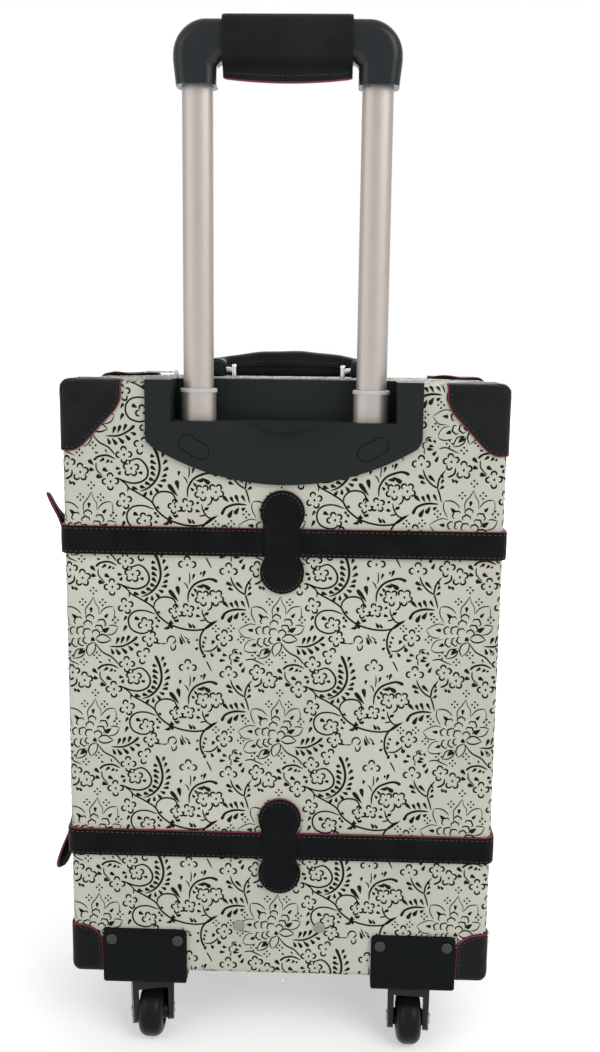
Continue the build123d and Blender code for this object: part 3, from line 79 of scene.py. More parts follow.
# Openings that the print keeps clear of: the grip's pocket and the finger scoop
POCKET_HALF, POCKET_DEEP, POCKET_DROP = 91.2, 38.5, 33.2
SCOOP_HALF, SCOOP_DROP = 56.5, 62.2


def unit(vectors):
    """Each row divided by its own length."""
    return vectors / np.maximum(np.linalg.norm(vectors, axis=-1, keepdims=True), 1e-12)


# Materials


def feed(tree, socket, value):
    """Links another node's output to a socket, or sets the socket's own value."""
    if isinstance(value, bpy.types.NodeSocket):
        tree.links.new(value, socket)
    else:
        socket.default_value = value


def node_at(tree, kind, inputs=(), **settings):
    """A new shader node with its settings, and then its inputs."""
    made = tree.nodes.new(kind)
    for key, value in settings.items():
        setattr(made, key, value)
    for key, value in dict(inputs).items():
        feed(tree, made.inputs[key], value)
    return made


def coated(name, colour, roughness, metallic=0.0, **sockets):
    """A material with one principled shader, and its object coordinates in metres."""
    mat = bpy.data.materials.new(name + "_finish")
    mat.use_nodes = True
    tree = mat.node_tree
    shader = tree.nodes["Principled BSDF"]
    sockets.update(Base_Color=(*colour, 1), Roughness=roughness, Metallic=metallic)
    for key, value in sockets.items():
        feed(tree, shader.inputs[key.replace("_", " ")], value)
    return tree, shader, node_at(tree, "ShaderNodeTexCoord").outputs["Object"]


def noise(tree, where, scale, detail=3.0):
    """Noise at a scale in cycles per metre."""
    inputs = {"Vector": where, "Scale": scale, "Detail": detail, "Roughness": 0.5}
    return node_at(tree, "ShaderNodeTexNoise", inputs).outputs["Fac"]


def cells(tree, where, scale):
    """Distance to the cell edges of a Voronoi pattern, as leather's pebbles."""
    inputs = {"Vector": where, "Scale": scale}
    made = node_at(tree, "ShaderNodeTexVoronoi", inputs, feature="DISTANCE_TO_EDGE")
    return made.outputs["Distance"]


def spread(tree, value, low, high, from_low=0.0, from_high=1.0):
    """A value mapped from one range to another."""
    inputs = {"From Min": from_low, "From Max": from_high, "To Min": low, "To Max": high}
    return node_at(tree, "ShaderNodeMapRange", {"Value": value, **inputs}).outputs["Result"]


def tint(tree, value, dark, light):
    """A colour between dark and light by a value."""
    inputs = {"A": (*dark, 1), "B": (*light, 1), "Factor": value}
    return node_at(tree, "ShaderNodeMix", inputs, data_type="RGBA").outputs["Result"]


def raise_by(tree, shader, height, strength, distance, under=None):
    """Bump from a height, on top of another bump if one is given."""
    inputs = {"Strength": strength, "Distance": distance, "Height": height}
    if under is not None:
        inputs["Normal"] = under
    bump = node_at(tree, "ShaderNodeBump", inputs).outputs["Normal"]
    feed(tree, shader.inputs["Normal"], bump)
    return bump


def vary(tree, shader, stains, dark, light, marks, low, high):
    """Varies the colour by one pattern, from dark to light, and the roughness by another."""
    feed(tree, shader.inputs["Base Color"], tint(tree, stains, dark, light))
    feed(tree, shader.inputs["Roughness"], spread(tree, marks, low, high))


def cover_cloth(colour):
    """Coated cover cloth: an ivory film with a fine grain, mottled a little."""
    tree, shader, where = coated("cover_cloth", colour, 0.5)
    pale = [min(1, c * 1.05) for c in colour]
    dull = [c * 0.93 for c in colour]
    patchy = spread(tree, noise(tree, where, 9, 4), 0, 1, 0.35, 0.65)
    vary(tree, shader, patchy, dull, pale, noise(tree, where, 60), 0.42, 0.58)
    grain = raise_by(tree, shader, cells(tree, where, 1500), 0.16, 0.0003)
    raise_by(tree, shader, noise(tree, where, 260, 3), 0.10, 0.0006, grain)


def leather(name, colour, roughness=0.46, pebble=1100.0, strength=0.35, shine=0.075):
    """Coated leather: pebbles, soft creases and worn, slightly duller patches."""
    tree, shader, where = coated(name, colour, roughness, Specular_IOR_Level=shine)
    worn = spread(tree, noise(tree, where, 35, 5), 0, 1, 0.3, 0.75)
    faded = [min(1, c * 1.7 + 0.004) for c in colour]
    creases = noise(tree, where, 130, 4)
    vary(tree, shader, worn, colour, faded, creases, roughness - 0.08, roughness + 0.12)
    grain = raise_by(tree, shader, cells(tree, where, pebble), strength, 0.0004)
    raise_by(tree, shader, noise(tree, where, 90, 4), strength * 0.6, 0.0012, grain)


def moulding(name, colour, roughness, sparkle=0.18, shine=0.3):
    """Moulded plastic with an even fine texture and faint flow marks."""
    tree, shader, where = coated(name, colour, roughness, Specular_IOR_Level=shine)
    pale = [c * 1.35 + 0.002 for c in colour]
    flow, marks = noise(tree, where, 22, 3), noise(tree, where, 180, 3)
    vary(tree, shader, flow, colour, pale, marks, roughness - 0.05, roughness + 0.07)
    raise_by(tree, shader, noise(tree, where, 1600, 2), sparkle, 0.0002)


def metal(name, colour, roughness, brushed=0.0, metallic=1.0):
    """Metal with fine lines along Z where it is brushed, and faint handling marks."""
    tree, shader, where = coated(name, colour, roughness, metallic)
    marks = noise(tree, where, 70, 4)
    dull, pale = [c * 0.94 for c in colour], [min(1, c * 1.04) for c in colour]
    vary(tree, shader, marks, dull, pale, marks, max(roughness - 0.05, 0.03), roughness + 0.08)
    if brushed:
        inputs = {"Vector": where, "Scale": (1, 1, 0.02)}
        lines = node_at(tree, "ShaderNodeMapping", inputs).outputs["Vector"]
        raise_by(tree, shader, noise(tree, lines, 2600, 2), brushed, 0.0001)


def woven(name, colour):
    """Zip tape and thread: two crossing waves as a herringbone rib."""
    tree, shader, where = coated(name, colour, 0.8, Sheen_Weight=0.3)
    inputs = {"Vector": where, "Scale": 420, "Distortion": 0.6}
    waves = {}
    for k, direction in enumerate("XZ"):
        made = node_at(tree, "ShaderNodeTexWave", inputs, bands_direction=direction)
        waves[k] = made.outputs["Fac"]
    ribs = node_at(tree, "ShaderNodeMath", waves, operation="MAXIMUM").outputs["Value"]
    feed(tree, shader.inputs["Base Color"], tint(tree, ribs, [c * 0.5 for c in colour], colour))
    raise_by(tree, shader, ribs, 0.5, 0.0003)


def finish_of(name):
    """A material that an earlier operator made."""
    return bpy.data.materials[name + "_finish"]


def dress(finish, *nodes):
    """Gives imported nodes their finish."""
    for node in nodes:
        slots = NODES[node].data.materials
        slots.clear()
        slots.append(finish_of(finish))


# Meshes from arrays, in millimetres


def placed(name, data):
    """An object of some data, in the scene and at its origin."""
    made = bpy.data.objects.new(name, data)
    bpy.context.scene.collection.objects.link(made)
    return made


def mesh_piece(
    name, points, faces, finishes, which=0, body="case", stands_for=()
):
    """A smooth mesh piece from whole arrays of points and faces, riding on a body.

    which is the number of each face's finish in the list of finishes.
    """
    data = bpy.data.meshes.new(name)
    points = np.asarray(points, float).reshape(-1, 3) * MM
    faces = np.asarray(faces, np.int32)
    data.vertices.add(len(points))
    data.vertices.foreach_set("co", points.astype(np.float32).ravel())
    data.loops.add(faces.size)
    data.loops.foreach_set("vertex_index", faces.ravel())
    data.polygons.add(len(faces))
    starts = np.arange(len(faces), dtype=np.int32) * faces.shape[1]
    data.polygons.foreach_set("loop_start", starts)
    data.polygons.foreach_set("use_smooth", np.ones(len(faces), bool))
    for finish in finishes:
        data.materials.append(finish_of(finish))
    which = np.broadcast_to(which, len(faces)).astype(np.int32)
    data.polygons.foreach_set("material_index", which)
    data.update(calc_edges=True)
    data.validate()
    made = placed(name, data)
    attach(made, body)
    if stands_for:
        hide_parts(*stands_for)
    return made


def grid_faces(rows, columns, closed=False, start=0):
    """Quads between the points of neighbouring rings, and on to the first ring if closed."""
    count = rows if closed else rows - 1
    i, j = np.meshgrid(np.arange(count), np.arange(columns), indexing="ij")
    i2, j2 = (i + 1) % rows, (j + 1) % columns
    corner = [i * columns + j, i * columns + j2, i2 * columns + j2, i2 * columns + j]
    return np.stack([c.ravel() for c in corner], 1) + start


def every_face(faces, copies, size):
    """The faces of several copies of a shape that has a number of points."""
    every = faces[None] + (np.arange(copies) * size)[:, None, None]
    return every.reshape(-1, faces.shape[1])


def repeated(shape, spots, *ways):
    """A shape's points at every spot: spot + a * way1 + b * way2 + c * way3 for each (a, b, c)."""
    points = spots[:, None]
    for k, way in enumerate(ways):
        points = points + shape[None, :, k : k + 1] * way[:, None]
    return points


# A block's corners come from the ends along its three axes; its sides follow that order
BLOCK_SIDES = np.array(
    [(0, 1, 3, 2), (4, 6, 7, 5), (0, 4, 5, 1), (2, 3, 7, 6), (0, 2, 6, 4), (1, 5, 7, 3)]
)


def block_corners(*ends):
    """The eight corners of a block between two ends along each axis."""
    return np.array(list(itertools.product(*ends)), float)


def joined(parts):
    """Several (points, faces, which) grids as one, with the face numbers moved along."""
    points, faces, which, count = [], [], [], 0
    for p, f, w in parts:
        p = np.asarray(p, float).reshape(-1, 3)
        points.append(p)
        faces.append(np.asarray(f) + count)
        which.append(np.broadcast_to(w, len(f)))
        count += len(p)
    return np.concatenate(points), np.concatenate(faces), np.concatenate(which)


def carried(path, across, out, profile, closed=False, widths=None):
    """A profile carried along a path: path + a * width * across + h * out for each (a, h).

    The first and last ring of an open path are drawn in to their middles, which closes them.
    """
    profile = np.asarray(profile, float)
    widths = np.ones(len(path)) if widths is None else widths
    shape = (
        path[:, None]
        + (profile[None, :, :1] * widths[:, None, None]) * across[:, None]
        + profile[None, :, 1:2] * out[:, None]
    )
    if not closed:
        shape[[0, -1]] = shape[[0, -1]].mean(1, keepdims=True)
    return shape, grid_faces(len(path), len(profile), closed)


def strap_profile(width, low, high, crown=0.25, cut=0.7, steps=7):
    """A strap's section, counter-clockwise: crowned face, rounded cut edges and a flat back.

    Returns the points and, for each segment, 1 where it is the cut edge.
    """
    half = width / 2
    a = np.linspace(half - cut, -half + cut, steps)
    face = np.stack([a, high - crown * (a / half) ** 2], 1)
    turn = np.radians([75, 45, 15])
    top = high - crown - cut
    right = np.stack([half - cut + cut * np.cos(turn), top + cut * np.sin(turn)], 1)
    points = np.concatenate([face, right * [-1, 1], [[-half, low], [half, low]], right[::-1]])
    edge = np.zeros(len(points), int)
    edge[steps + 1 : steps + 3] = 1
    edge[steps + 4 : steps + 6] = 1
    return points, edge


def rounded_loop(half_a, half_b, radius, steps):
    """A rounded rectangle's points in two coordinates, counter-clockwise."""
    points = []
    for quarter, (sa, sb) in enumerate(((1, 1), (-1, 1), (-1, -1), (1, -1))):
        turn = np.radians(90 * quarter) + np.linspace(0, np.pi / 2, steps)
        way = np.stack([np.cos(turn), np.sin(turn)], 1)
        points.append([sa * (half_a - radius), sb * (half_b - radius)] + radius * way)
    return np.concatenate(points)


# A stitch's rings: place along it and width, as shares of its length and width
GRAIN_RINGS = ((-0.34, 0.82), (0.0, 1.0), (0.34, 0.82))
GRAIN_SIDES = 5
GRAIN_SINK = -0.35


def stitch_rows(name, rows, length=2.6, width=0.75, body="case"):
    """Rice-shaped stitches: each a short ellipsoid on its spot, along its row and half sunk.

    Each row gives its spots, its directions along and its directions out. A ring (s, r) lies at
    length * s and is width * r across, 0.64 of that high; both tips are sunk.
    """
    spots, along, out = (np.concatenate(part).astype(float) for part in zip(*rows))
    along = unit(along)
    across = unit(np.cross(out, along))
    n = GRAIN_SIDES
    turn = np.arange(n) * 2 * np.pi / n
    rings = [
        np.stack([np.full(n, s), r * np.cos(turn) / 2, r * np.sin(turn) * 0.32], 1)
        for s, r in GRAIN_RINGS
    ]
    shape = np.concatenate([[[-0.5, 0, GRAIN_SINK]], *rings, [[0.5, 0, GRAIN_SINK]]])
    shape = shape * [length, width, width]
    quads = grid_faces(len(rings), n, start=1)
    end = len(shape) - 1
    first = [(0, 1 + (k + 1) % n, 1 + k) for k in range(n)]
    last = [(end, end - n + k, end - n + (k + 1) % n) for k in range(n)]
    faces = np.concatenate([quads[:, [0, 1, 2]], quads[:, [0, 2, 3]], first + last])
    points = repeated(shape, spots, along, across, out)
    mesh_piece(name, points, every_face(faces, len(spots), len(shape)), ["thread"], body=body)


def spaced(path, gap, closed=False):
    """Points a gap apart along a path, the direction at each and the path's point before each."""
    if closed:
        path = np.concatenate([path, path[:1]])
    steps = np.linalg.norm(np.diff(path, axis=0), axis=1)
    run = np.concatenate([[0], np.cumsum(steps)])
    count = max(int(run[-1] // gap), 1)
    at = (np.arange(count) + 0.5) * run[-1] / count
    spots = np.stack([np.interp(at, run, path[:, k]) for k in range(3)], 1)
    which = np.clip(np.searchsorted(run, at) - 1, 0, len(steps) - 1)
    near = (at / run[-1] * (len(path) - 1)).astype(int)
    return spots, unit(np.diff(path, axis=0)[which]), near


def on_case(points, lift):
    """Points on the sharp case block, moved onto the rounded block and lifted off it.

    q = the point clamped to the block shrunk by the rim radius;
    result = q + (radius + lift) * unit(point - q).
    """
    inner = np.clip(points, CORE_LOW, CORE_HIGH)
    out = unit(points - inner)
    return inner + (RIM_R + lift) * out, out


# Sizes and colours that a user would change


def shade(name, description, default):
    """A colour that a user would change."""
    return FloatVectorProperty(
        name=name, description=description, subtype="COLOR", default=default, min=0, max=1
    )


def metres(name, description, default, least):
    """A length that a user would change."""
    return FloatProperty(
        name=name, description=description, unit="LENGTH", default=default, min=least
    )


class SuitcaseSettings(bpy.types.PropertyGroup):
    """The suitcase's colours and small sizes."""

    cover_colour: shade("Cover", "Ground colour of the coated cover", (0.530, 0.535, 0.455))
    ink_colour: shade("Print", "Colour of the line print", (0.0080, 0.0085, 0.0062))
    leather_colour: shade(
        "Leather", "Colour of the belts, tabs, corners and wraps", (0.0060, 0.0068, 0.0065)
    )
    edge_colour: shade(
        "Cut edges", "Colour painted on the leather's cut edges", (0.150, 0.020, 0.038)
    )
    # The caster brackets take this colour at half, a darker copy that is painted shade
    plastic_colour: shade(
        "Mouldings", "Colour of the bezel and the caster brackets", (0.0085, 0.0115, 0.0110)
    )
    tube_colour: shade("Tubes", "Colour of the anodised tubes", (0.400, 0.362, 0.338))
    tile_width: metres("Print repeat", "Width of one repeat of the print", 0.151, 0.05)
    tile_height: metres("Print drop", "Height of one repeat of the print", 0.0855, 0.03)
    stitch_pitch: metres("Stitch pitch", "Distance from one stitch to the next", 0.0042, 0.002)
    teeth_pitch: metres(
        "Zip teeth pitch", "Distance from one tooth of a row to the next", 0.0026, 0.001
    )
    wheel_ribs: IntProperty(
        name="Wheel ribs", description="Ribs on each face of a wheel", default=6, min=3
    )


def settings():
    """The scene's suitcase settings."""
    return bpy.context.scene.suitcase


def pitch():
    """The stitch pitch in millimetres."""
    return settings().stitch_pitch / MM


class FinishSet(bpy.types.Operator):
    """Makes every material of the suitcase"""

    bl_idname = "suitcase.finishes"
    bl_label = "Finishes"

    def execute(self, context):
        chosen = settings()
        leather_colour = tuple(chosen.leather_colour)
        plastic_colour = tuple(chosen.plastic_colour)
        cover_cloth(tuple(chosen.cover_colour))
        moulding("print_ink", tuple(chosen.ink_colour), 0.6, 0.1, shine=0.06)
        leather("black_leather", leather_colour)
        leather("strap_leather", [c * 0.45 for c in leather_colour], 0.46, 900, 0.25, 0.045)
        leather("cut_edge", tuple(chosen.edge_colour), 0.5, 700, 0.2, 0.15)
        woven("thread", [c * 1.3 + 0.004 for c in leather_colour])
        woven("zip_tape", (0.02, 0.02, 0.021))
        metal("zip_metal", (0.42, 0.41, 0.40), 0.32)
        metal("chrome", (0.72, 0.72, 0.73), 0.12)
        metal("dull_steel", (0.42, 0.42, 0.43), 0.38)
        moulding("black_moulding", plastic_colour, 0.46, shine=0.12)
        # The brackets' moulding is this plastic at half colour and with less shine: a darker copy,
        # painted shade
        moulding("shaded_bracket_moulding", [c * 0.5 for c in plastic_colour], 0.46, shine=0.05)
        moulding("grip_gloss", (0.0095, 0.0120, 0.0135), 0.24, 0.04, shine=0.22)
        moulding("grey_moulding", (0.47, 0.455, 0.44), 0.4)
        moulding("tyre", (0.0045, 0.0052, 0.0056), 0.3, 0.12, shine=0.12)
        metal("cover_rivet", (0.27, 0.27, 0.245), 0.5)
        metal("dark_rivet", (0.055, 0.055, 0.053), 0.42)
        metal("tube_satin", tuple(chosen.tube_colour), 0.42, 0.12, 0.7)
        return {"FINISHED"}


# The printed pattern, drawn on one repeat 660 wide and 360 high, x to the right and z up

SHEET_W, SHEET_H = 660.0, 360.0


def flowing(points, longest=8.0):
    """A smooth line through a few points: cubic weights of each four neighbours (Catmull-Rom)."""
    points = np.asarray(points, float)
    run = np.linalg.norm(np.diff(points, axis=0), axis=1).sum()
    count = max(int(run / longest) + 2, 4)
    padded = np.concatenate([2 * points[:1] - points[1:2], points, 2 * points[-1:] - points[-2:-1]])
    at = np.linspace(0, len(points) - 1, count)
    k = np.minimum(at.astype(int), len(points) - 2)
    t = (at - k)[:, None]
    a, b, c, d = padded[k], padded[k + 1], padded[k + 2], padded[k + 3]
    return 0.5 * (
        2 * b
        + (c - a) * t
        + (2 * a - 5 * b + 4 * c - d) * t**2
        + (3 * b - 3 * c + d - a) * t**3
    )


# Every mark is drawn this much wider than it was traced
BOLD = 1.28

# Strokes as (width, start share, end share, points), outlines as (width, points), drops as
# (point x, z, round end x, z, width), blossoms as (x, z, radius, turn, petals, turn between
# petals), middles (x, z) of four dots, and the bloom's petals as (x, z, radius, direction)
STROKES = (
    (4.6, 0.35, 0.9, ((7, -10), (34, -44), (69, -63), (91, -87))),
    (5.6, 0.6, 0.8, (
        (130, -106), (146, -106), (168, -99), (187, -108), (201, -127), (205, -145), (200, -162),
        (186, -174), (165, -181), (145, -181), (122, -175), (96, -164),
    )),
    (5.2, 0.7, 0.8, (
        (96, -163), (127, -184), (140, -199), (176, -218), (216, -243), (236, -273), (270, -300),
        (309, -315), (348, -322), (381, -321), (407, -314), (431, -297), (446, -285),
    )),
    (4.4, 0.7, 0.5, ((131, -188), (135, -199), (133, -213))),
    (5.6, 0.5, 1.4, ((93, -102), (64, -90), (34, -94), (17, -107))),
    (4.0, 0.9, 0.3, ((25, -114), (27, -138), (50, -162))),
    (5.0, 0.8, 0.7, (
        (221, 115), (223, 131), (240, 148), (265, 152), (289, 145), (300, 123), (294, 107),
    )),
    (5.0, 0.8, 0.9, (
        (226, 91), (189, 103), (154, 100), (133, 82), (130, 57), (142, 35), (167, 24), (187, 24),
        (203, 31),
    )),
    (4.6, 0.8, 0.6, ((218, -5), (230, -10), (246, -11))),
    (6.6, 1.5, 0.25, (
        (223, -54), (237, -84), (245, -118), (243, -146), (232, -170), (214, -190), (194, -203),
        (174, -209),
    )),
    (6.0, 0.5, 1.7, (
        (-319, 120), (-316, 155), (-294, 186), (-255, 202), (-234, 203), (-215, 195),
    )),
    (3.6, 0.4, 0.9, ((-314, 227), (-312, 206), (-315, 185))),
    (4.0, 0.6, 0.8, ((-334, 192), (-323, 181), (-319, 167))),
    (5.0, 0.8, 0.7, ((-238, 127), (-234, 114), (-241, 100), (-251, 96))),
    (4.6, 0.6, 0.9, ((-270, 100), (-267, 83), (-259, 67), (-248, 55), (-234, 51))),
    (4.4, 1.0, 0.7, ((-278, 58), (-267, 60), (-254, 63))),
    (5.4, 0.7, 1.3, ((-218, 59), (-240, 48), (-267, 22), (-277, -7), (-275, -38), (-264, -61))),
    (4.8, 0.6, 0.8, ((-265, -47), (-241, -47), (-223, -36), (-213, -24))),
    (6.4, 1.7, 0.5, ((-201, 64), (-186, 88), (-152, 100), (-112, 99))),
    (4.6, 0.6, 1.1, ((-103, 104), (-110, 131), (-118, 152))),
    (4.8, 1.1, 0.6, ((-118, 152), (-142, 167), (-161, 191), (-169, 214))),
    (5.0, 1.1, 0.6, ((-118, 152), (-113, 182), (-93, 212))),
    (5.6, 0.7, 1.2, ((-59, 221), (-60, 204), (-71, 194), (-85, 189))),
    (4.0, 0.9, 0.4, ((-117, -77), (-93, -73), (-71, -82), (-47, -92))),
    (4.2, 1.2, 0.5, ((-255, -83), (-246, -99), (-236, -119))),
    (5.4, 0.5, 1.9, ((61, -25), (103, -24), (137, -9), (161, 11))),
    (4.6, 0.8, 0.9, ((140, -120), (142, -112), (146, -106))),
    (3.8, 0.5, 1.2, ((-346, 13), (-339, -5), (-329, -20))),
    (3.6, 0.5, 1.1, ((-334, 3), (-325, -4), (-315, -10))),
    (3.6, 0.8, 0.9, ((-417, -23), (-406, -25), (-395, -21))),
)
OUTLINES = (
    (3.2, ((-20, 76), (-22, 104), (-5, 127), (7, 148))),
    (2.4, ((7, 148), (14, 125), (25, 108), (24, 86))),
    (3.6, ((26, 86), (42, 106), (60, 114), (77, 114))),
    (2.2, ((77, 114), (81, 90), (75, 61))),
    (3.8, ((-38, 87), (-53, 103), (-73, 111), (-94, 109))),
    (3.2, ((-94, 109), (-95, 84), (-80, 54))),
    (3.0, ((-77, 47), (-98, 51), (-120, 43), (-142, 29))),
    (3.2, ((-142, 29), (-126, 8), (-111, 2), (-93, 2))),
    (2.8, ((-82, -3), (-103, -7), (-117, -22), (-122, -40))),
    (3.4, ((-122, -40), (-109, -48), (-92, -49), (-73, -44))),
    (3.8, ((59, 48), (74, 50), (92, 45))),
    (3.6, ((92, 45), (82, 25), (69, 17), (52, 15))),
    (4.6, ((12, 2), (29, 15), (48, 14), (68, -2))),
    (4.6, ((68, -2), (47, -11), (27, -11), (12, 0))),
    (4.2, ((8, -11), (-14, -20), (-22, -41), (-14, -62))),
    (3.6, ((-14, -62), (3, -48), (11, -30), (9, -11))),
    (3.8, ((-30, -34), (-54, -38), (-64, -52), (-69, -70))),
    (4.0, ((-69, -70), (-46, -66), (-31, -54), (-27, -35))),
    (4.4, ((-142, -40), (-156, -40), (-162, -48), (-159, -57))),
    (4.4, ((-162, -57), (-171, -60), (-172, -72), (-164, -79))),
    (4.0, ((-164, -79), (-168, -87), (-164, -96))),
    (5.0, ((-393, -22), (-391, -5), (-376, 3), (-363, -6))),
    (5.0, ((-363, -6), (-365, -17), (-375, -24))),
    (5.0, ((-382, -29), (-376, -47), (-365, -40), (-363, -26))),
)
DROPS = (
    (37, -112, 54, -100, 8), (59, -115, 71, -105, 8), (75, -115, 82, -109, 7),
    (110, -134, 93, -132, 9), (110, -141, 103, -154, 9), (171, -146, 186, -147, 9),
    (66, -144, 48, -134, 11), (47, -164, 25, -159, 12),
    (16, -122, -1, -106, 11), (18, -141, 1, -136, 11), (34, -83, 22, -80, 6),
    (63, -82, 58, -70, 5), (229, -92, 213, -88, 10), (235, -117, 213, -106, 10),
    (233, -138, 214, -124, 10), (231, -157, 215, -143, 10), (227, -172, 208, -165, 10),
    (214, -186, 194, -179, 10), (196, -197, 176, -192, 10), (170, -203, 149, -196, 10),
    (246, -74, 253, -57, 9), (253, -95, 260, -78, 9), (256, -118, 271, -102, 9),
    (256, -140, 276, -128, 9), (252, -160, 270, -151, 9), (246, -173, 268, -170, 9),
    (236, -184, 255, -192, 9), (226, -195, 240, -210, 9), (214, -203, 215, -222, 9),
    (201, -209, 190, -224, 9),
    (-289, 177, -264, 178, 10), (-270, 187, -241, 168, 12), (-299, 171, -289, 159, 8),
    (-308, 154, -298, 143, 8), (-350, 146, -357, 178, 12), (-353, 124, -386, 164, 12),
    (-275, 217, -271, 228, 6), (-267, 210, -259, 233, 8), (-303, 201, -296, 221, 7),
    (-350, 193, -347, 209, 8), (-262, 76, -251, 87, 8), (-275, 73, -291, 77, 9),
    (-246, 91, -253, 79, 7), (-289, 100, -279, 105, 8), (-319, 51, -307, 33, 9),
    (-305, 48, -295, 32, 7), (-354, 64, -358, 53, 9), (-370, 48, -381, 50, 8),
    (-392, 42, -373, 31, 8), (-264, 4, -254, -4, 7), (-269, -12, -260, -21, 7),
    (-270, -25, -264, -36, 7), (-283, -11, -291, -7, 8), (-282, -35, -294, -43, 8),
    (-257, -58, -265, -71, 9), (-240, -52, -231, -67, 9), (-215, -32, -207, -49, 12),
    (-235, -23, -228, -9, 10), (-176, 107, -195, 126, 10), (-159, 106, -170, 125, 9),
    (-141, 106, -153, 132, 9), (-118, 109, -131, 131, 8), (-162, 82, -177, 55, 12),
    (-140, 90, -155, 67, 12), (-117, 89, -131, 81, 9), (-162, 182, -184, 193, 10),
    (-159, 166, -177, 174, 9), (-126, 172, -149, 194, 9), (-107, 168, -98, 181, 8),
    (-112, 149, -96, 159, 8), (-98, 184, -107, 199, 7), (-59, 182, -50, 170, 8),
    (-70, 185, -62, 172, 8), (-181, -63, -197, -58, 9), (-187, -79, -208, -80, 9),
    (-141, -55, -156, -46, 8), (-134, -70, -151, -68, 8), (-136, -81, -158, -78, 9),
    (-125, -85, -138, -99, 9), (-118, -101, -128, -121, 9), (-128, -59, -136, -49, 7),
    (84, -17, 94, 7, 9), (101, -15, 112, 11, 9), (121, -9, 132, 15, 9), (66, -32, 75, -53, 9),
    (82, -33, 98, -54, 10), (102, -29, 123, -49, 10), (127, -21, 144, -38, 10),
    (146, -12, 165, -20, 9), (113, 66, 123, 83, 8), (111, 29, 122, 50, 9),
    (170, 70, 152, 78, 11), (233, 72, 226, 82, 8), (242, 63, 234, 72, 8), (254, 41, 275, 45, 9),
    (238, 46, 226, 50, 8), (244, 93, 234, 101, 8), (289, 74, 302, 66, 8), (281, 73, 277, 58, 8),
    (-350, 1, -340, -26, 9), (-323, -10, -314, -22, 7), (-6, -6, 7, 2, 13), (-3, 92, -2, 111, 9),
    (59, 90, 46, 76, 9), (-71, 87, -56, 73, 10), (-109, 30, -89, 28, 10),
    (-96, -27, -78, -21, 10), (-52, -56, -33, -38, 14), (62, 41, 40, 26, 13),
)
BLOSSOMS = (
    (122, -87, 27, 47, 4, 88), (146, -132, 27, 177, 4, 72), (74, -177, 28, 47, 4, 88),
    (120, 118, 27, -113, 4, 86), (-267, 138, 27, 76, 4, 75), (-221, 140, 28, -72, 4, 72),
    (-321, 93, 24, -102, 4, 83), (-362, 89, 24, 122, 4, 80), (-191, 0, 28, 42, 4, 88),
    (-74, 240, 27, 46, 4, 76), (-31, 213, 29, -109, 4, 72), (192, 52, 27, -18, 4, 74),
    (206, 5, 27, -148, 4, 78), (186, -57, 29, 67, 3, 86), (-321, -109, 30, 0, 3, 84),
    (-176, 230, 30, 0, 3, 86),
)
DOTTED = (
    (-32, 129), (39, 129), (-115, 66), (-132, -5), (-82, -60), (15, -57), (-32, -82), (83, 68),
    (-221, 32), (-167, 34), (7, 169),
)
SCALLOPS = (
    (-18, 22, 15, 130), (13, 19, 14, 80), (-22, -5, 12, 192), (-40, 28, 16, 142), (-15, 50, 15, 96),
    (23, 34, 16, 54), (-37, -10, 15, 202), (-66, 28, 14, 162), (-48, 62, 16, 130), (-7, 71, 15, 94),
    (33, 55, 16, 56), (-59, -13, 16, 197),
)


def brush(points, width, start, end):
    """A brush stroke: its width is base + (1 - base) * sin(pi * s), base from start to end,
    drawn in over the first and last 4 percent."""
    line = flowing(points)
    s = np.linspace(0, 1, len(line))
    base = start + (end - start) * s
    wide = base + (1 - base) * np.sin(np.pi * s)
    return line, BOLD * width * wide * np.clip(np.minimum(s, 1 - s) / 0.04, 0.4, 1)


def drop(x0, z0, x1, z1, width):
    """A leaf mark from its point to its round end."""
    s = np.array([0, 0.3, 0.6, 0.82, 0.95, 1.0])
    line = np.array([x0, z0]) + s[:, None] * np.array([x1 - x0, z1 - z0], float)
    return line, BOLD * width * np.array([0.12, 0.6, 0.95, 1.0, 0.7, 0.25])


PETAL_WIDTH, PETAL_OPEN, PETAL_POINTS = 5.6, 112, 9


def blossom(x, z, radius, turn, count, step):
    """Petals around a dot, each an arc open towards it and thinner at its ends, in a fan of
    even steps: middle + 0.33 * radius * (cos a, sin a), a up to 112 degrees off its way."""
    marks = [drop(x - 4, z, x + 4, z, 8)]
    s = np.linspace(0, 1, PETAL_POINTS)
    wide = BOLD * PETAL_WIDTH * (0.5 + 0.5 * np.sin(np.pi * s) ** 0.6)
    for k in range(count):
        way = 90 + turn + step * (k - (count - 1) / 2)
        cx = x + radius * 0.66 * math.cos(math.radians(way))
        cz = z + radius * 0.66 * math.sin(math.radians(way))
        a = np.radians(np.linspace(way - PETAL_OPEN, way + PETAL_OPEN, PETAL_POINTS))
        r = radius * 0.33
        marks.append((np.stack([cx + r * np.cos(a), cz + r * np.sin(a)], 1), wide))
    return marks


def dots(x, z):
    """Four short dots around a point."""
    return [
        drop(x + 5.0 * a, z + 5.0 * b, x + 13.0 * a, z + 13.0 * b, 6.0)
        for a, b in ((1, 0), (0, 1), (-1, 0), (0, -1))
    ]


def great_bloom():
    """The bloom's overlapping petals round its heart, each an arc with three soft bumps:
    r = radius * (0.93 + 0.08 * cos(5.7 * a)) for a from -98 to 98 degrees."""
    marks = []
    for x, z, radius, way in SCALLOPS:
        a = np.radians(np.linspace(-98, 98, 19))
        r = radius * (0.93 + 0.08 * np.cos(5.7 * a))
        turn = a + math.radians(way)
        line = np.stack([x + r * np.cos(turn), z + r * np.sin(turn)], 1)
        marks.append((line, BOLD * 4.6 * (0.4 + 0.6 * np.cos(a * 0.9) ** 0.7)))
    return marks


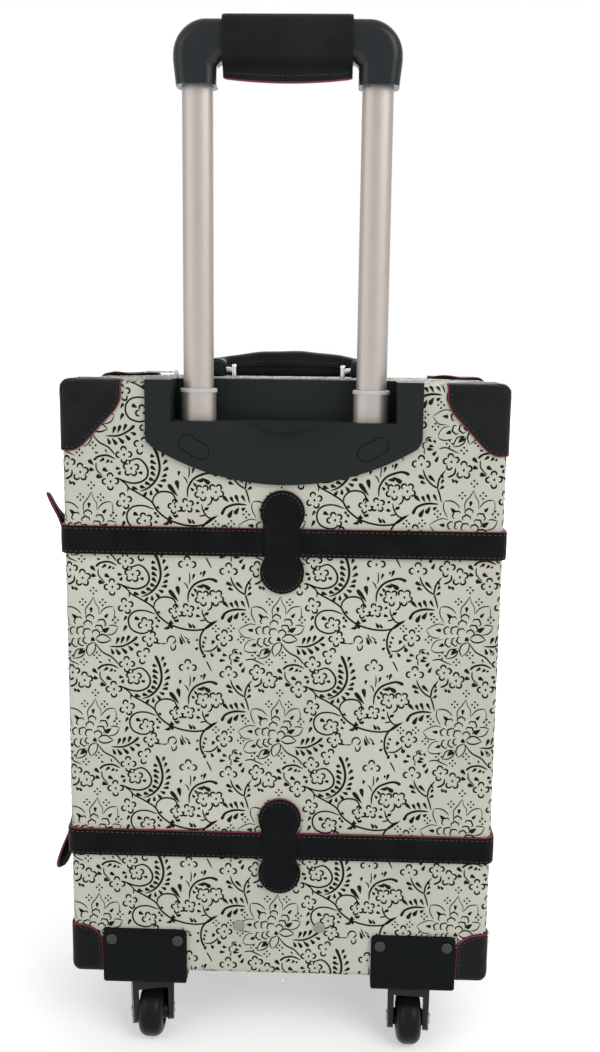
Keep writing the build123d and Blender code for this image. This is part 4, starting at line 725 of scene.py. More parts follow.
def one_repeat():
    """Every mark of one repeat of the print, on the sheet's scale, from the bloom's heart."""
    marks = great_bloom()
    marks += [brush(points, width, start, end) for width, start, end, points in STROKES]
    marks += [brush(points, width, 0.6, 0.6) for width, points in OUTLINES]
    marks += [drop(*row) for row in DROPS]
    for row in BLOSSOMS:
        marks += blossom(*row)
    for row in DOTTED:
        marks += dots(*row)
    return marks


def ribbons(marks):
    """Flat ribbons for the marks: each point p gives p - left and p + left, left = width / 2
    along the line's direction turned a quarter."""
    points, faces, count = [], [], 0
    for line, width in marks:
        way = unit(np.gradient(line, axis=0))
        left = np.stack([-way[:, 1], way[:, 0]], 1) * width[:, None] / 2
        points.append(np.stack([line - left, line + left], 1).reshape(-1, 2))
        k = count + 2 * np.arange(len(line) - 1)
        faces.append(np.stack([k, k + 2, k + 3, k + 1], 1))
        count += 2 * len(line)
    return np.concatenate(points), np.concatenate(faces)


# The print stands this far off the cover, and a little more where the cover bends
PRINT_LIFT, BEND_LIFT = 0.07, 0.08
# No mark lies this near to both edges, where the leather corners cover the folds
CORNER_CLEAR = 7.2
# The print ends this far before the seam, and each column of repeats stands a little higher
SEAM_CLEAR, COLUMN_RISE = 0.6, 3.0


def folded(u, v, toward):
    """The cover's flat sheet folded over one half of the case, from its panel round four edges.

    s = the length past the panel's flat; turn = min(s, r * pi / 2) / r;
    out = r * sin(turn), back = r * (1 - cos(turn)) + the rest of s.
    """
    reach, back, lean = [], 0.0, []
    for sheet, half in ((u, HALF_W), (v, HALF_H)):
        past = np.maximum(np.abs(sheet) - (half - RIM_R), 0)
        turn = np.minimum(past, RIM_R * np.pi / 2) / RIM_R
        flat = np.minimum(np.abs(sheet), half - RIM_R)
        reach.append(np.sign(sheet) * (flat + RIM_R * np.sin(turn)))
        back = back + RIM_R * (1 - np.cos(turn)) + np.maximum(past - RIM_R * np.pi / 2, 0)
        lean.append(np.sign(sheet) * np.sin(turn))
    lean = np.stack(lean, 1)
    deep = np.sqrt(np.maximum(1 - (lean**2).sum(1), 0))
    out = np.stack([lean[:, 0], -deep, lean[:, 1]], 1)
    place = np.stack([reach[0], back - HALF_D, reach[1] + MID_Z], 1)
    place = place + (PRINT_LIFT + BEND_LIFT * (np.abs(lean).max(1) > 0.02))[:, None] * out
    return place * [toward, toward, 1]


def print_on(name, toward, depth, shift, stands_for=()):
    """The print on one half of the case: its repeats laid on the flat sheet, cut and folded."""
    marks, faces = ribbons(one_repeat())
    wide, high = settings().tile_width / MM, settings().tile_height / MM
    marks = marks * [wide / SHEET_W, high / SHEET_H]
    ends = (HALF_W + depth, HALF_H + depth)
    columns = np.arange(-math.ceil(ends[0] / wide) - 1, math.ceil(ends[0] / wide) + 1)
    rows = np.arange(-math.ceil(ends[1] / high) - 1, math.ceil(ends[1] / high) + 2)
    across, down = (a.ravel() for a in np.meshgrid(columns, rows))
    rise = shift[1] + COLUMN_RISE * across
    moved = np.stack([across * wide + shift[0], down * high + rise], 1)
    sheet = (marks[None] + moved[:, None]).reshape(-1, 2)
    every = every_face(faces, len(moved), len(marks))
    u, v = sheet[:, 0], sheet[:, 1]
    fold = RIM_R * (np.pi / 2 - 1)
    keep = ~((np.abs(u) > HALF_W - CORNER_CLEAR) & (np.abs(v) > HALF_H - CORNER_CLEAR))
    keep &= (np.abs(u) < HALF_W + depth + fold) & (np.abs(v) < HALF_H + depth + fold)
    if stands_for:
        keep &= ~(
            (np.abs(u) < POCKET_HALF)
            & (v > HALF_H - POCKET_DROP)
            & (v < HALF_H + POCKET_DEEP + fold)
        )
        keep &= ~((np.abs(u) < SCOOP_HALF) & (v > HALF_H - SCOOP_DROP) & (v < HALF_H))
    every = every[keep[every].all(1)]
    used, place = np.unique(every, return_inverse=True)
    points = folded(u[used], v[used], toward)
    mesh_piece(
        name,
        points,
        place.reshape(-1, 4),
        ["print_ink"],
        stands_for=stands_for,
    )


class PrintedCovers(bpy.types.Operator):
    """Covers both halves of the case and prints their line pattern"""

    bl_idname = "suitcase.covers"
    bl_label = "Printed covers"

    def execute(self, context):
        dress("cover_cloth", "back_shell", "front_lid")
        print_on("panel_print", 1, SEAM_BACK + HALF_D - SEAM_CLEAR, (-2.6, 45.5), ("floral_print",))
        print_on("lid_print", -1, HALF_D - SEAM_FRONT - SEAM_CLEAR, (31.0, 12.0))
        return {"FINISHED"}


# Leather corners: outlines as steps inwards from the corner, for the panel, side and top or bottom

TOP_FLAPS = (
    ((48, 0), (48, 17), (13, 54.6), (0, 54.6)),
    ((0, 54.6), (13, 54.6), (48, 17), (48, 0)),
    ((0, 48), (17, 48), (48, 17), (48, 0)),
)
FOOT_FLAPS = (
    ((25.7, 0), (25.7, 34), (13, 43), (0, 43)),
    ((0, 43), (13, 43), (48, 17), (48, 0)),
    ((0, 48), (13, 48), (25.7, 17), (25.7, 0)),
)


def even(points, longest, closed=False):
    """A path's points with its long runs divided evenly."""
    ends = np.concatenate([points[1:], points[:1]]) if closed else points[1:]
    parts = []
    for a, b in zip(points, ends):
        count = max(int(np.ceil(np.linalg.norm(b - a) / longest)), 1)
        parts.append(a + (b - a) * (np.arange(count) / count)[:, None])
    if not closed:
        parts.append(points[-1:])
    return np.concatenate(parts)


def eased(steps, reach):
    """A run of straight steps with each bend turned into a quadratic curve a reach long."""
    parts, t = [steps[:1]], np.linspace(0, 1, 8)[:, None]
    for a, b, c in zip(steps[:-2], steps[1:-1], steps[2:]):
        before = b + (a - b) * min(reach / np.linalg.norm(a - b), 0.48)
        after = b + (c - b) * min(reach / np.linalg.norm(c - b), 0.48)
        parts.append((1 - t) ** 2 * before + 2 * t * (1 - t) * b + t**2 * after)
    return np.concatenate([*parts, steps[-1:]])


def corner_outline(flaps, inset):
    """One corner patch's closed outline as distances from the corner along X, Y and Z.

    Each face's steps (a, b) lie along the two edges that meet at the corner, and the inset
    moves them inwards along the outline's own normal in that face. The second value tells
    the face of each point.
    """
    runs, faces = [], []
    for face, steps in enumerate(flaps):
        steps = even(eased(np.array(steps, float), 11.0), 1.5)
        way = unit(np.gradient(steps, axis=0))
        inward = np.stack([-way[:, 1], way[:, 0]], 1)
        if (inward * (np.array([12.0, 12.0]) - steps)).sum() < 0:
            inward = -inward
        a, b = np.maximum(steps + inset * inward, 0).T
        zero = np.zeros_like(a)
        run = {0: (a, zero, b), 1: (zero, a, b), 2: (a, b, zero)}[face]
        runs.append(np.stack(run, 1)[:-1])
        faces.append(np.full(len(steps) - 1, face))
    return np.concatenate(runs), np.concatenate(faces)


PATCH_HIGH, PATCH_LOW = 1.9, 0.1
# A patch's stitches: their inset and height, and how far the rounded case may fall below the
# sharp one where they still lie, which leaves them out at the corner's tip
STITCH_INSET, STITCH_HIGH, STITCH_FALL = 2.9, 1.84, 3.4
# A corner patch's rings from its middle outwards: share of the way, inset and height
PATCH_RINGS = [(k / 22, 2.0, PATCH_HIGH) for k in range(1, 22)]
PATCH_RINGS += [(1, 2.0, PATCH_HIGH), (1, 1.5, 1.92), (1, 0.9, 1.9), (1, 0.4, 1.78), (1, 0.08, 1.5)]
PATCH_RINGS += [(1, 0.0, 1.1), (1, 0.0, 0.12), (0.5, 0.0, 0.1)]


def corner_patch(flaps, sx, sy, sz):
    """One leather corner folded over three faces of the case, and its stitch places.

    ring = corner - share * outline(inset), laid on the rounded case at its height; on the
    front's top flap the free edge lifts by share^3 * (1.1 + 0.8 * sin(run)), and small
    gathers of 0.22 mm * cos(9 * turn) die out away from the corner.
    """
    sign = np.array([sx, sy, sz])
    corner = np.array([sx * HALF_W, sy * HALF_D, TOP if sz > 0 else BOTTOM])
    rings = []
    for share, inset, high in PATCH_RINGS:
        steps, face = corner_outline(flaps, inset)
        turn = np.linspace(0, 2 * np.pi, len(steps), endpoint=False)
        loose = (share**3) * (1.1 + 0.8 * np.sin(6 * turn + sx)) * (face == 2)
        loose = loose * (sy > 0 and sz > 0) * np.clip(steps[:, :2].min(1) / 12, 0, 1)
        gather = 0.22 * np.cos(9 * turn) * math.exp(-((share / 0.35) ** 2)) * min(1, share * 8)
        lift = high + (loose + gather) * (high > 1)
        place, _ = on_case(corner - share * steps * sign, lift[:, None])
        rings.append(place)
    count = len(rings[0])
    tip, _ = on_case(corner[None], PATCH_HIGH)
    foot, _ = on_case(corner[None], PATCH_LOW)
    quads = grid_faces(len(rings), count, start=1)
    tris = np.concatenate([quads[:, [0, 1, 2]], quads[:, [0, 2, 3]]])
    edge = np.zeros((len(rings) - 1, count), int)
    edge[-5:-2] = 1
    k = np.arange(count)
    end = 1 + len(rings) * count
    last = end - count
    cap = np.stack([0 * k, 1 + (k + 1) % count, 1 + k], 1)
    under = np.stack([last + k, last + (k + 1) % count, 0 * k + end], 1)
    points = np.concatenate([tip, *rings, foot])
    faces = np.concatenate([tris, cap, under])
    which = np.concatenate([edge.ravel(), edge.ravel(), np.zeros(2 * count, int)])
    if sx * sy * sz < 0:
        faces = faces[:, ::-1]
    sewn, _ = corner_outline(flaps, STITCH_INSET)
    spots, way, _ = spaced(corner - sewn * sign, pitch(), closed=True)
    seat, lean = on_case(spots, STITCH_HIGH)
    keep = np.linalg.norm(seat - spots, axis=1) < STITCH_FALL
    return (points, faces, which), (seat[keep], way[keep], lean[keep])


class LeatherCorners(bpy.types.Operator):
    """Makes the eight leather corners with their painted edges and stitches"""

    bl_idname = "suitcase.corners"
    bl_label = "Leather corners"

    def execute(self, context):
        rows = []
        for node, flaps, sz in (
            ("top_corner_patches", TOP_FLAPS, 1),
            ("bottom_corner_patches", FOOT_FLAPS, -1),
        ):
            patches = []
            for sx, sy in itertools.product((-1, 1), repeat=2):
                patch, row = corner_patch(flaps, sx, sy, sz)
                patches.append(patch)
                rows.append(row)
            points, faces, which = joined(patches)
            mesh_piece(
                node + "_leather",
                points,
                faces,
                ["black_leather", "cut_edge"],
                which,
                stands_for=(node,),
            )
        stitch_rows("corner_stitching", rows)
        return {"FINISHED"}


# Belts

BELT_WIDTH, BELT_LOW, BELT_HIGH = 23.0, 0.3, 3.3
TAIL_START, TAIL_BEND, TAIL_REACH = 4.0, -62.0, 41.0
TAIL_TOP = 6.25
# Lengths over which a free end turns and twists, from this far before its bend
TAIL_TURN_RUN, TAIL_TWIST_RUN, TAIL_EARLY = 14, 30, 4
# From a strap's edge to its row of stitches
STITCH_EDGE = 2.3


def smooth(s):
    """s * s * (3 - 2 * s), with s held between 0 and 1."""
    s = np.clip(s, 0, 1)
    return s * s * (3 - 2 * s)


def belt_ring(z):
    """A belt's closed path round the case at a height, with its outward directions."""
    flat = even(rounded_loop(HALF_W, HALF_D, RIM_R, 7), 9.0, closed=True)
    reach = np.array([HALF_W - RIM_R, HALF_D - RIM_R])
    place = np.column_stack([flat, np.full(len(flat), z)])
    return place, unit(np.column_stack([flat - np.clip(flat, -reach, reach), 0 * flat[:, 0]]))


def tail_path(z, turn, lean, twist):
    """A belt's free end: along the left side, then turned up or down and flared off the case.

    The direction turns by turn * smooth(s / 14) from the bend on, and leans outwards over the
    same run, so each point adds a short step in its own direction; the strap also twists
    about its own direction, more and more towards its tip.
    """
    step = 1.0
    straight = TAIL_START - TAIL_BEND
    s = np.arange(0, straight + TAIL_REACH + step / 2, step)
    bent = smooth((s - straight + TAIL_EARLY) / TAIL_TURN_RUN)
    swing, flare = np.radians(turn) * bent, np.radians(lean) * bent
    way = np.stack(
        [-np.sin(flare), -np.cos(flare) * np.cos(swing), np.cos(flare) * np.sin(swing)], 1
    )
    place = np.array([-HALF_W, TAIL_START, z]) + np.concatenate(
        [np.zeros((1, 3)), np.cumsum(way[:-1] * step, 0)]
    )
    level = np.stack([0 * swing, -np.cos(swing), np.sin(swing)], 1)
    flared = np.stack([-np.cos(flare), 0 * flare, 0 * flare], 1) + np.sin(flare)[:, None] * level
    out = unit(flared)
    side = unit(np.cross(out, way))
    curl = np.radians(twist) * smooth((s - straight + TAIL_EARLY) / TAIL_TWIST_RUN)[:, None]
    return place, np.cos(curl) * out - np.sin(curl) * side * np.sign(turn), way, s


def stitched_run(place, out, along, high):
    """Stitches on two rows near a belt's edges, at a height over its path."""
    across = unit(np.cross(out, along))
    rows = []
    for sign in (1, -1):
        row = place + across * sign * (BELT_WIDTH / 2 - STITCH_EDGE) + out * high
        at, way, near = spaced(row, pitch())
        rows.append((at, way, out[near]))
    return rows


class Belts(bpy.types.Operator):
    """Puts two leather belts round the case, with their free ends on the left"""

    bl_idname = "suitcase.belts"
    bl_label = "Belts"

    def execute(self, context):
        levels = []
        for node, turn, lean, twist in (
            ("upper_belt", 66.0, 19.0, 16.0),
            ("lower_belt", -72.0, 17.0, -9.0),
        ):
            z = self.level(node)
            levels.append(z)
            place, out = belt_ring(z)
            along = unit(np.roll(place, -1, 0) - np.roll(place, 1, 0))
            section, edge = strap_profile(BELT_WIDTH, BELT_LOW, BELT_HIGH)
            across = unit(np.cross(out, along))
            ring, ring_faces = carried(place, across, out, section, closed=True)
            tail, tail_out, way, s = tail_path(z, turn, lean, twist)
            side = unit(np.cross(tail_out, way))
            point = BELT_WIDTH * 0.45
            tip = np.clip((s - s[-1] + point) / point, 0, 1)
            widths = np.maximum(np.sqrt(1 - tip**2), 0.02)
            again = np.concatenate([[0], np.arange(len(s))])
            layer, layer_edge = strap_profile(BELT_WIDTH - 0.4, BELT_HIGH + 0.05, TAIL_TOP)
            end, end_faces = carried(
                tail[again], side[again], tail_out[again], layer, widths=widths[again]
            )
            points, faces, which = joined(
                [
                    (ring, ring_faces, np.tile(edge, len(place))),
                    (end, end_faces, np.tile(layer_edge, len(again) - 1)),
                ]
            )
            mesh_piece(
                node + "_leather",
                points,
                faces,
                ["strap_leather", "cut_edge"],
                which,
                stands_for=(node,),
            )
            round_case = [np.concatenate([a, a[:1]]) for a in (place, out, along)]
            short = slice(6, len(s) - 12)
            stitch_rows(
                node + "_stitching",
                stitched_run(*round_case, BELT_HIGH - 0.12)
                + stitched_run(tail[short], tail_out[short], way[short], TAIL_TOP - 0.13),
            )
        dress("chrome", "belt_buckles", "buckle_prongs")
        self.keepers(levels)
        return {"FINISHED"}

    def keepers(self, levels):
        """A crowned loop of leather over each belt and its free end, with painted edges.

        Its path goes out from the case, over two rounded corners and back, and each ring is
        the strap's section at a point of it.
        """
        low, high = box_of("belt_keepers")
        wall, round_r, seat = 1.5, 3.2, 0.3
        reach = -HALF_W - low[0] - wall
        half = BELT_WIDTH / 2 + seat + 0.1
        turn = np.linspace(0, np.pi / 2, 6)[:, None]
        bend = round_r * np.concatenate([np.sin(turn), np.cos(turn)], 1)
        upper = np.array([reach - round_r, half - round_r]) + bend
        run = np.concatenate([[[seat, half], [seat, half]], upper])
        run = even(np.concatenate([run, (run * [1, -1])[::-1]]), 1.5)
        way = unit(np.gradient(run, axis=0))
        out = np.column_stack([way[:, 1], 0 * way[:, 0], way[:, 0]])
        across = np.broadcast_to([0.0, 1.0, 0.0], out.shape)
        section, edge = strap_profile(high[1] - low[1], 0, wall, 0.2, 0.4)
        middle = np.full(len(run), (low[1] + high[1]) / 2)
        loops = []
        for z in levels:
            place = np.column_stack([-HALF_W - run[:, 0], middle, z + run[:, 1]])
            shape, faces = carried(place, across, out, section)
            loops.append((shape, faces[:, ::-1], np.tile(edge, len(run) - 1)))
        points, faces, which = joined(loops)
        mesh_piece(
            "belt_keepers_leather",
            points,
            faces,
            ["strap_leather", "cut_edge"],
            which,
            stands_for=("belt_keepers",),
        )

    def level(self, node):
        """The belt's middle height, from the end of its box that has no free end."""
        low, high = box_of(node)
        upper = node.startswith("upper")
        return (low[2] + BELT_WIDTH / 2) if upper else (high[2] - BELT_WIDTH / 2)


# Tabs that hold the belts at the middle of the back panel

TAB_SPREAD, TAB_LOBE, TAB_NECK = 48.0, 17.7, 14.0
TAB_FLAT, TAB_OVER = 3.5, 5.55
TAB_SLOPE_FROM, TAB_SLOPE_RUN = 10.5, 7.5
# The tab's rings from its middle outwards: share of its reach and drop below its face, with the
# groove of the stitches and the rounded edge
TAB_ROWS = (
    (0.0, 0.0), (0.15, 0.0), (0.3, 0.0), (0.45, 0.0), (0.6, 0.0), (0.75, 0.0), (0.85, 0.05),
    (0.91, 0.28), (0.935, 0.3), (0.965, 0.12), (0.985, 0.32), (0.998, 0.8), (1.0, 1.0),
)


def tab_reach(turn, inset=0.0):
    """The tab's outline as a distance from its middle: its neck's side or its lobe's arc.

    lobe = c * cos(p) + sqrt(r * r - (c * sin(p)) ** 2), p from the lobe's direction;
    neck = n / |cos(turn)|; they are blended smoothly where they meet.
    """
    c, r, n = TAB_SPREAD / 2, TAB_LOBE - inset, TAB_NECK - inset
    p = np.abs(np.abs(turn) - np.pi / 2)
    lobe = c * np.cos(p) + np.sqrt(np.maximum(r * r - (c * np.sin(p)) ** 2, 0))
    neck = n / np.maximum(np.sin(p), 1e-3)
    neck_end = np.arcsin(min(r / c, 1.0) * 0.999)
    lobe = np.where(p < neck_end, lobe, 0)
    return np.where((lobe * np.cos(p) > c - math.sqrt(max(r * r - n * n, 0))), lobe, neck)


def tab_height(z):
    """How far the tab's face stands off the panel: over the belt at its middle, lower beyond."""
    past = smooth((np.abs(z) - TAB_SLOPE_FROM) / TAB_SLOPE_RUN)
    return TAB_FLAT + (TAB_OVER - TAB_FLAT) * (1 - past)


def tab_points(turn, share, drop):
    """Points of the tab at a share of its reach, lowered by a drop."""
    reach = tab_reach(turn) * share
    x, z = reach * np.cos(turn), reach * np.sin(turn)
    return x, z, tab_height(z) - drop


class BeltTabs(bpy.types.Operator):
    """Makes the two stitched tabs that hold the belts"""

    bl_idname = "suitcase.tabs"
    bl_label = "Belt tabs"

    def execute(self, context):
        turn = np.linspace(-np.pi, np.pi, 120, endpoint=False)
        for node in ("upper_belt_tab", "lower_belt_tab"):
            low, high = box_of(node)
            middle = (low + high) / 2
            rings = []
            for share, drop_by in TAB_ROWS:
                x, z, h = tab_points(turn, share, drop_by)
                rings.append(np.stack([middle[0] + x, -HALF_D - h, middle[2] + z], 1))
            for share in (1.0, 0.0):
                x, z, h = tab_points(turn, share, 0.0)
                on_panel = np.full(len(turn), -HALF_D - BELT_LOW)
                rings.append(np.stack([middle[0] + x, on_panel, middle[2] + z], 1))
            count = len(turn)
            faces = grid_faces(len(rings), count)[:, ::-1]
            which = np.zeros((len(rings) - 1, count), int)
            which[len(TAB_ROWS) - 2 : len(TAB_ROWS)] = 1
            mesh_piece(
                node + "_leather",
                np.concatenate(rings),
                faces,
                ["strap_leather", "cut_edge"],
                which.ravel(),
                stands_for=(node,),
            )
            reach = tab_reach(turn, STITCH_EDGE)
            x, z = reach * np.cos(turn), reach * np.sin(turn)
            sewn = np.stack([middle[0] + x, -HALF_D - tab_height(z) + 0.28, middle[2] + z], 1)
            spots, way, _ = spaced(sewn, pitch() * 0.8, closed=True)
            out = np.broadcast_to([0.0, -1.0, 0.0], spots.shape)
            stitch_rows(node + "_stitching", [(spots, way, out)], 2.4, 0.8)
        return {"FINISHED"}


class HandleHousing(bpy.types.Operator):
    """Finishes the moulded bezel, its screw caps and the tubes' foot bracket"""

    bl_idname = "suitcase.housing"
    bl_label = "Handle housing"

    def execute(self, context):
        dress("black_moulding", "handle_bezel", "bezel_screw_caps", "tube_foot_bracket")
        dress("cover_rivet", "panel_rivets")
        return {"FINISHED"}


class Tubes(bpy.types.Operator):
    """Finishes the telescopic tubes, their collars, guides, rods and latches"""

    bl_idname = "suitcase.tubes"
    bl_label = "Telescopic tubes"

    def execute(self, context):
        for stage in ("outer", "middle", "inner"):
            for side in ("left", "right"):
                dress("tube_satin", f"{stage}_tube_{side}")
        dress("grey_moulding", "tube_collars", "middle_guides", "inner_guides")
        dress("dull_steel", "push_rods", "latch_left", "latch_right")
        return {"FINISHED"}


# The grip's sewn wrap, half its section as depth and height from the middle of the bar

WRAP_SECTION = (
    (0.0, 18.9), (5.0, 18.75), (10.5, 17.4), (14.6, 13.6), (16.6, 8.0), (16.9, 1.5), (16.9, -4.5),
    (16.2, -10.0), (13.6, -14.6), (9.4, -18.0), (5.4, -21.2), (3.5, -24.6), (2.7, -28.2),
    (1.7, -29.2), (0.0, -29.3),
)
WRAP_RINGS = 61
# Below this height the section is the wrap's foot, which hangs lowest at the bar's middle
FOOT_FROM, FOOT_SAG = -16, 3.0


def wrap_rings(low, high):
    """The wrap's rings along the bar.

    ring(t) = the section at half * t, mirrored in depth; its foot is lifted by up to
    3 mm * t * t, and its skin draws in over the last 3 mm of each end.
    """
    half = (high[0] - low[0]) / 2
    middle = np.array([0.0, (low[1] + high[1]) / 2, high[2] - WRAP_SECTION[0][1]])
    section = flowing(WRAP_SECTION, 2.2)
    both = np.concatenate([section, (section * [-1, 1])[-2:0:-1]])
    t = np.linspace(-1, 1, WRAP_RINGS)
    t = np.sign(t) * (1 - (1 - np.abs(t)) ** 1.25)
    foot = both[:, 1] < FOOT_FROM
    rings = []
    for at in t:
        draw = np.clip((1 - abs(at)) * half / 3.0, 0, 1)
        shape = both.copy()
        lift = FOOT_SAG * at * at * (-both[:, 1] + FOOT_FROM) / 13.3
        shape[:, 1] = np.where(foot, both[:, 1] + lift, both[:, 1])
        shape = shape * (1 - 0.028 * (1 - np.sqrt(draw)))
        along = np.full(len(shape), at * half)
        rings.append(np.column_stack([along, middle[1] - shape[:, 0], middle[2] + shape[:, 1]]))
    return rings, len(both), middle, half


class Grip(bpy.types.Operator):
    """Makes the grip's sewn leather wrap and finishes its glossy halves and button"""

    bl_idname = "suitcase.grip"
    bl_label = "Grip"

    def execute(self, context):
        dress("grip_gloss", "grip_back_half", "grip_front_half", "release_button")
        low, high = box_of("grip_wrap")
        rings, count, middle, half = wrap_rings(low, high)
        centre = np.array([0, middle[1], middle[2] + 0.5])
        ends = []
        for ring, side in ((rings[0], 1), (rings[-1], -1)):
            edge = ring + (centre - ring) * [0, 1, 1] * 0.14
            inside = edge + [side * 4.0, 0, 0]
            ends.append((0 * ring + inside.mean(0), inside, edge))
        every = [*ends[0], *rings, *ends[1][::-1]]
        faces = grid_faces(len(every), count)
        which = np.zeros(len(faces), int)
        which[count : 3 * count] = which[-3 * count : -count] = 1
        section = rings[len(rings) // 2]
        foot = (section[:, 2] < section[:, 2].min() + 0.9).nonzero()[0]
        which[np.isin(np.arange(len(faces)) % count, foot)] = 1
        mesh_piece(
            "grip_wrap_leather",
            np.concatenate(every),
            faces,
            ["black_leather", "cut_edge"],
            which,
            body="grip",
            stands_for=("grip_wrap",),
        )
        x = np.linspace(-half + 3, half - 3, 80)
        t = x / half
        rows = []
        for side in (-1, 1):
            row = np.stack(
                [x, middle[1] + side * 4.0 + 0 * x, middle[2] - 24.6 + 2.0 * t * t], 1
            )
            at, way, _ = spaced(row, pitch() * 0.85)
            rows.append((at, way, np.broadcast_to([0, side * 0.97, -0.2], at.shape)))
        stitch_rows("grip_wrap_stitching", rows, body="grip")
        return {"FINISHED"}


# The carry handle's section: shares of its half width and of its height, from one foot over the
# padded top to the other, with a seam's ridge on each side

CARRY_HALF = (
    (0.0, 0.0), (0.55, 0.0), (0.84, 0.03), (0.95, 0.12), (0.97, 0.3), (0.95, 0.4), (1.0, 0.43),
    (1.01, 0.47), (0.96, 0.5), (0.9, 0.55), (0.9, 0.68), (0.82, 0.82), (0.62, 0.93),
    (0.32, 0.985), (0.0, 1.0),
)
CARRY_WIDE, CARRY_ARCH = 11.4, 286.25
# The pivot's place in depth and over the case, and the heel's radius round it
PIVOT_Y, PIVOT_UP, HEEL_R = -20.0, 8.5, 7.6


def carry_line(low, high):
    """The carry handle's middle line: back arm, rounded corner, bar, corner, arm, at 1.2 mm steps,
    with the direction across it and the lowest and highest places of the leather there.

    top(x) = highest - (R - sqrt(R * R - x * x)) for the arch of radius R; behind the pivot the
    heel is cut to a circle of 7.6 mm round it.
    """
    reach, bend = 63.0, 12.0
    front = high[1] - 11.0
    turn = np.linspace(0, np.pi / 2, 10)[:, None]
    curve = np.array([reach - bend, front - bend]) + bend * np.concatenate(
        [np.cos(turn), np.sin(turn)], 1
    )
    run = np.concatenate([[[reach, low[1] + 0.3]], curve])
    run = even(np.concatenate([run, (run * [-1, 1])[::-1]]), 1.2)
    way = unit(np.gradient(run, axis=0))
    across = np.column_stack([way[:, 1], -way[:, 0], 0 * way[:, 0]])
    top = high[2] - (CARRY_ARCH - np.sqrt(CARRY_ARCH**2 - run[:, 0] ** 2))
    bottom = np.full(len(run), low[2] + 0.1)
    past = np.maximum(PIVOT_Y - run[:, 1], 0)
    heel = np.sqrt(np.maximum(HEEL_R**2 - past**2, 0.01))
    behind = past > 0
    top = np.where(behind, np.minimum(top, TOP + PIVOT_UP + heel), top)
    bottom = np.where(behind, np.maximum(bottom, TOP + PIVOT_UP - heel), bottom)
    return run, across, bottom, top


class CarryHandle(bpy.types.Operator):
    """Makes the stitched, padded leather carry handle and finishes its bright posts"""

    bl_idname = "suitcase.carry_handle"
    bl_label = "Carry handle"

    def execute(self, context):
        dress("chrome", "carry_handle_posts")
        run, across, bottom, top = carry_line(*box_of("carry_handle"))
        section = np.array(CARRY_HALF)
        whole = np.concatenate([section, (section * [-1, 1])[-2:0:-1]])
        count = len(run)
        from_end = np.minimum(np.arange(count), np.arange(count)[::-1])
        wide = CARRY_WIDE * np.sqrt(np.clip((from_end + 0.25) / 4.0, 0, 1)) ** 0.5
        wide[[0, -1]] = 0.2
        height = (top - bottom) * (1 + 0.012 * np.sin(run[:, 0] / 5.5))
        place = np.column_stack([run, bottom])
        points = (
            place[:, None]
            + (whole[None, :, :1] * wide[:, None, None]) * across[:, None]
            + (whole[None, :, 1:] * height[:, None, None]) * np.array([0, 0, 1.0])
        )
        points[[0, -1]] = points[[0, -1]].mean(1, keepdims=True)
        made = mesh_piece(
            "carry_handle_leather",
            points,
            grid_faces(count, len(whole))[:, ::-1],
            ["black_leather"],
            body="carry_handle_body",
            stands_for=("carry_handle",),
        )
        rows = []
        for side in (-1, 1):
            row = place + across * side * wide[:, None] * 0.91 + height[:, None] * [0, 0, 0.6]
            at, way, near = spaced(row[6:-6], pitch() * 0.9)
            rows.append((at, way, across[near + 6] * side))
        stitch_rows("carry_handle_stitching", rows, body="carry_handle_body")
        return {"FINISHED"}


# The zip along the top, the left side and the bottom

TEETH_SINK, ZIP_R = 0.55, 7.0


def zip_line(longest, sink):
    """The seam's middle line from the right end of the top, over the left side, to the right end
    of the bottom, sunk a little below the cover, with its outward directions."""
    loop = rounded_loop(HALF_W - sink, HALF_H - sink, ZIP_R - sink, 8)
    line = even(loop[7:24], longest)
    reach = np.array([HALF_W - ZIP_R, HALF_H - ZIP_R])
    out = unit(line - np.clip(line, -reach, reach))
    place = np.column_stack([line[:, 0], np.full(len(line), SEAM_Y), line[:, 1] + MID_Z])
    return place, np.column_stack([out[:, 0], 0 * out[:, 0], out[:, 1]])


class Zip(bpy.types.Operator):
    """Makes the zip's rows of teeth and finishes its tapes, sliders and pulls"""

    bl_idname = "suitcase.zip"
    bl_label = "Zip"

    def execute(self, context):
        dress("zip_tape", "zip_tapes", "lid_hinge")
        dress("chrome", "zip_sliders", "zip_pull_left", "zip_pull_right")
        line, outs = zip_line(0.5, TEETH_SINK)
        step = settings().teeth_pitch / MM
        spots, along, near = spaced(line, step / 2)
        out = outs[near]
        row = np.where(np.arange(len(spots)) % 2 == 0, 1.0, -1.0)[:, None]
        across = np.broadcast_to([0.0, 1.0, 0.0], spots.shape)
        tooth = block_corners((-1, 1), (-1, 1), (-1, 1)) * [step * 0.21, 1.05, 0.5]
        tooth[:, :2] *= np.where(tooth[:, 2:] > 0, 0.86, 1.0)
        points = repeated(tooth, spots + across * row * 0.85, along, across, out)
        inside_out = np.dot(np.cross(along[0], across[0]), out[0]) < 0
        sides = BLOCK_SIDES[:, ::-1] if inside_out else BLOCK_SIDES
        made = mesh_piece(
            "zip_teeth_rows",
            points,
            every_face(sides, len(spots), len(tooth)),
            ["zip_metal"],
            stands_for=("zip_teeth",),
        )
        made.data.polygons.foreach_set("use_smooth", np.zeros(len(made.data.polygons), bool))
        return {"FINISHED"}


WHEEL_SIDES, TYRE_R = 48, 8.0
# The recessed disc's depth below a wheel's face, and its outer radius with the lip beyond
DISC_DEPTH, DISC_R = 4.5, 12.4


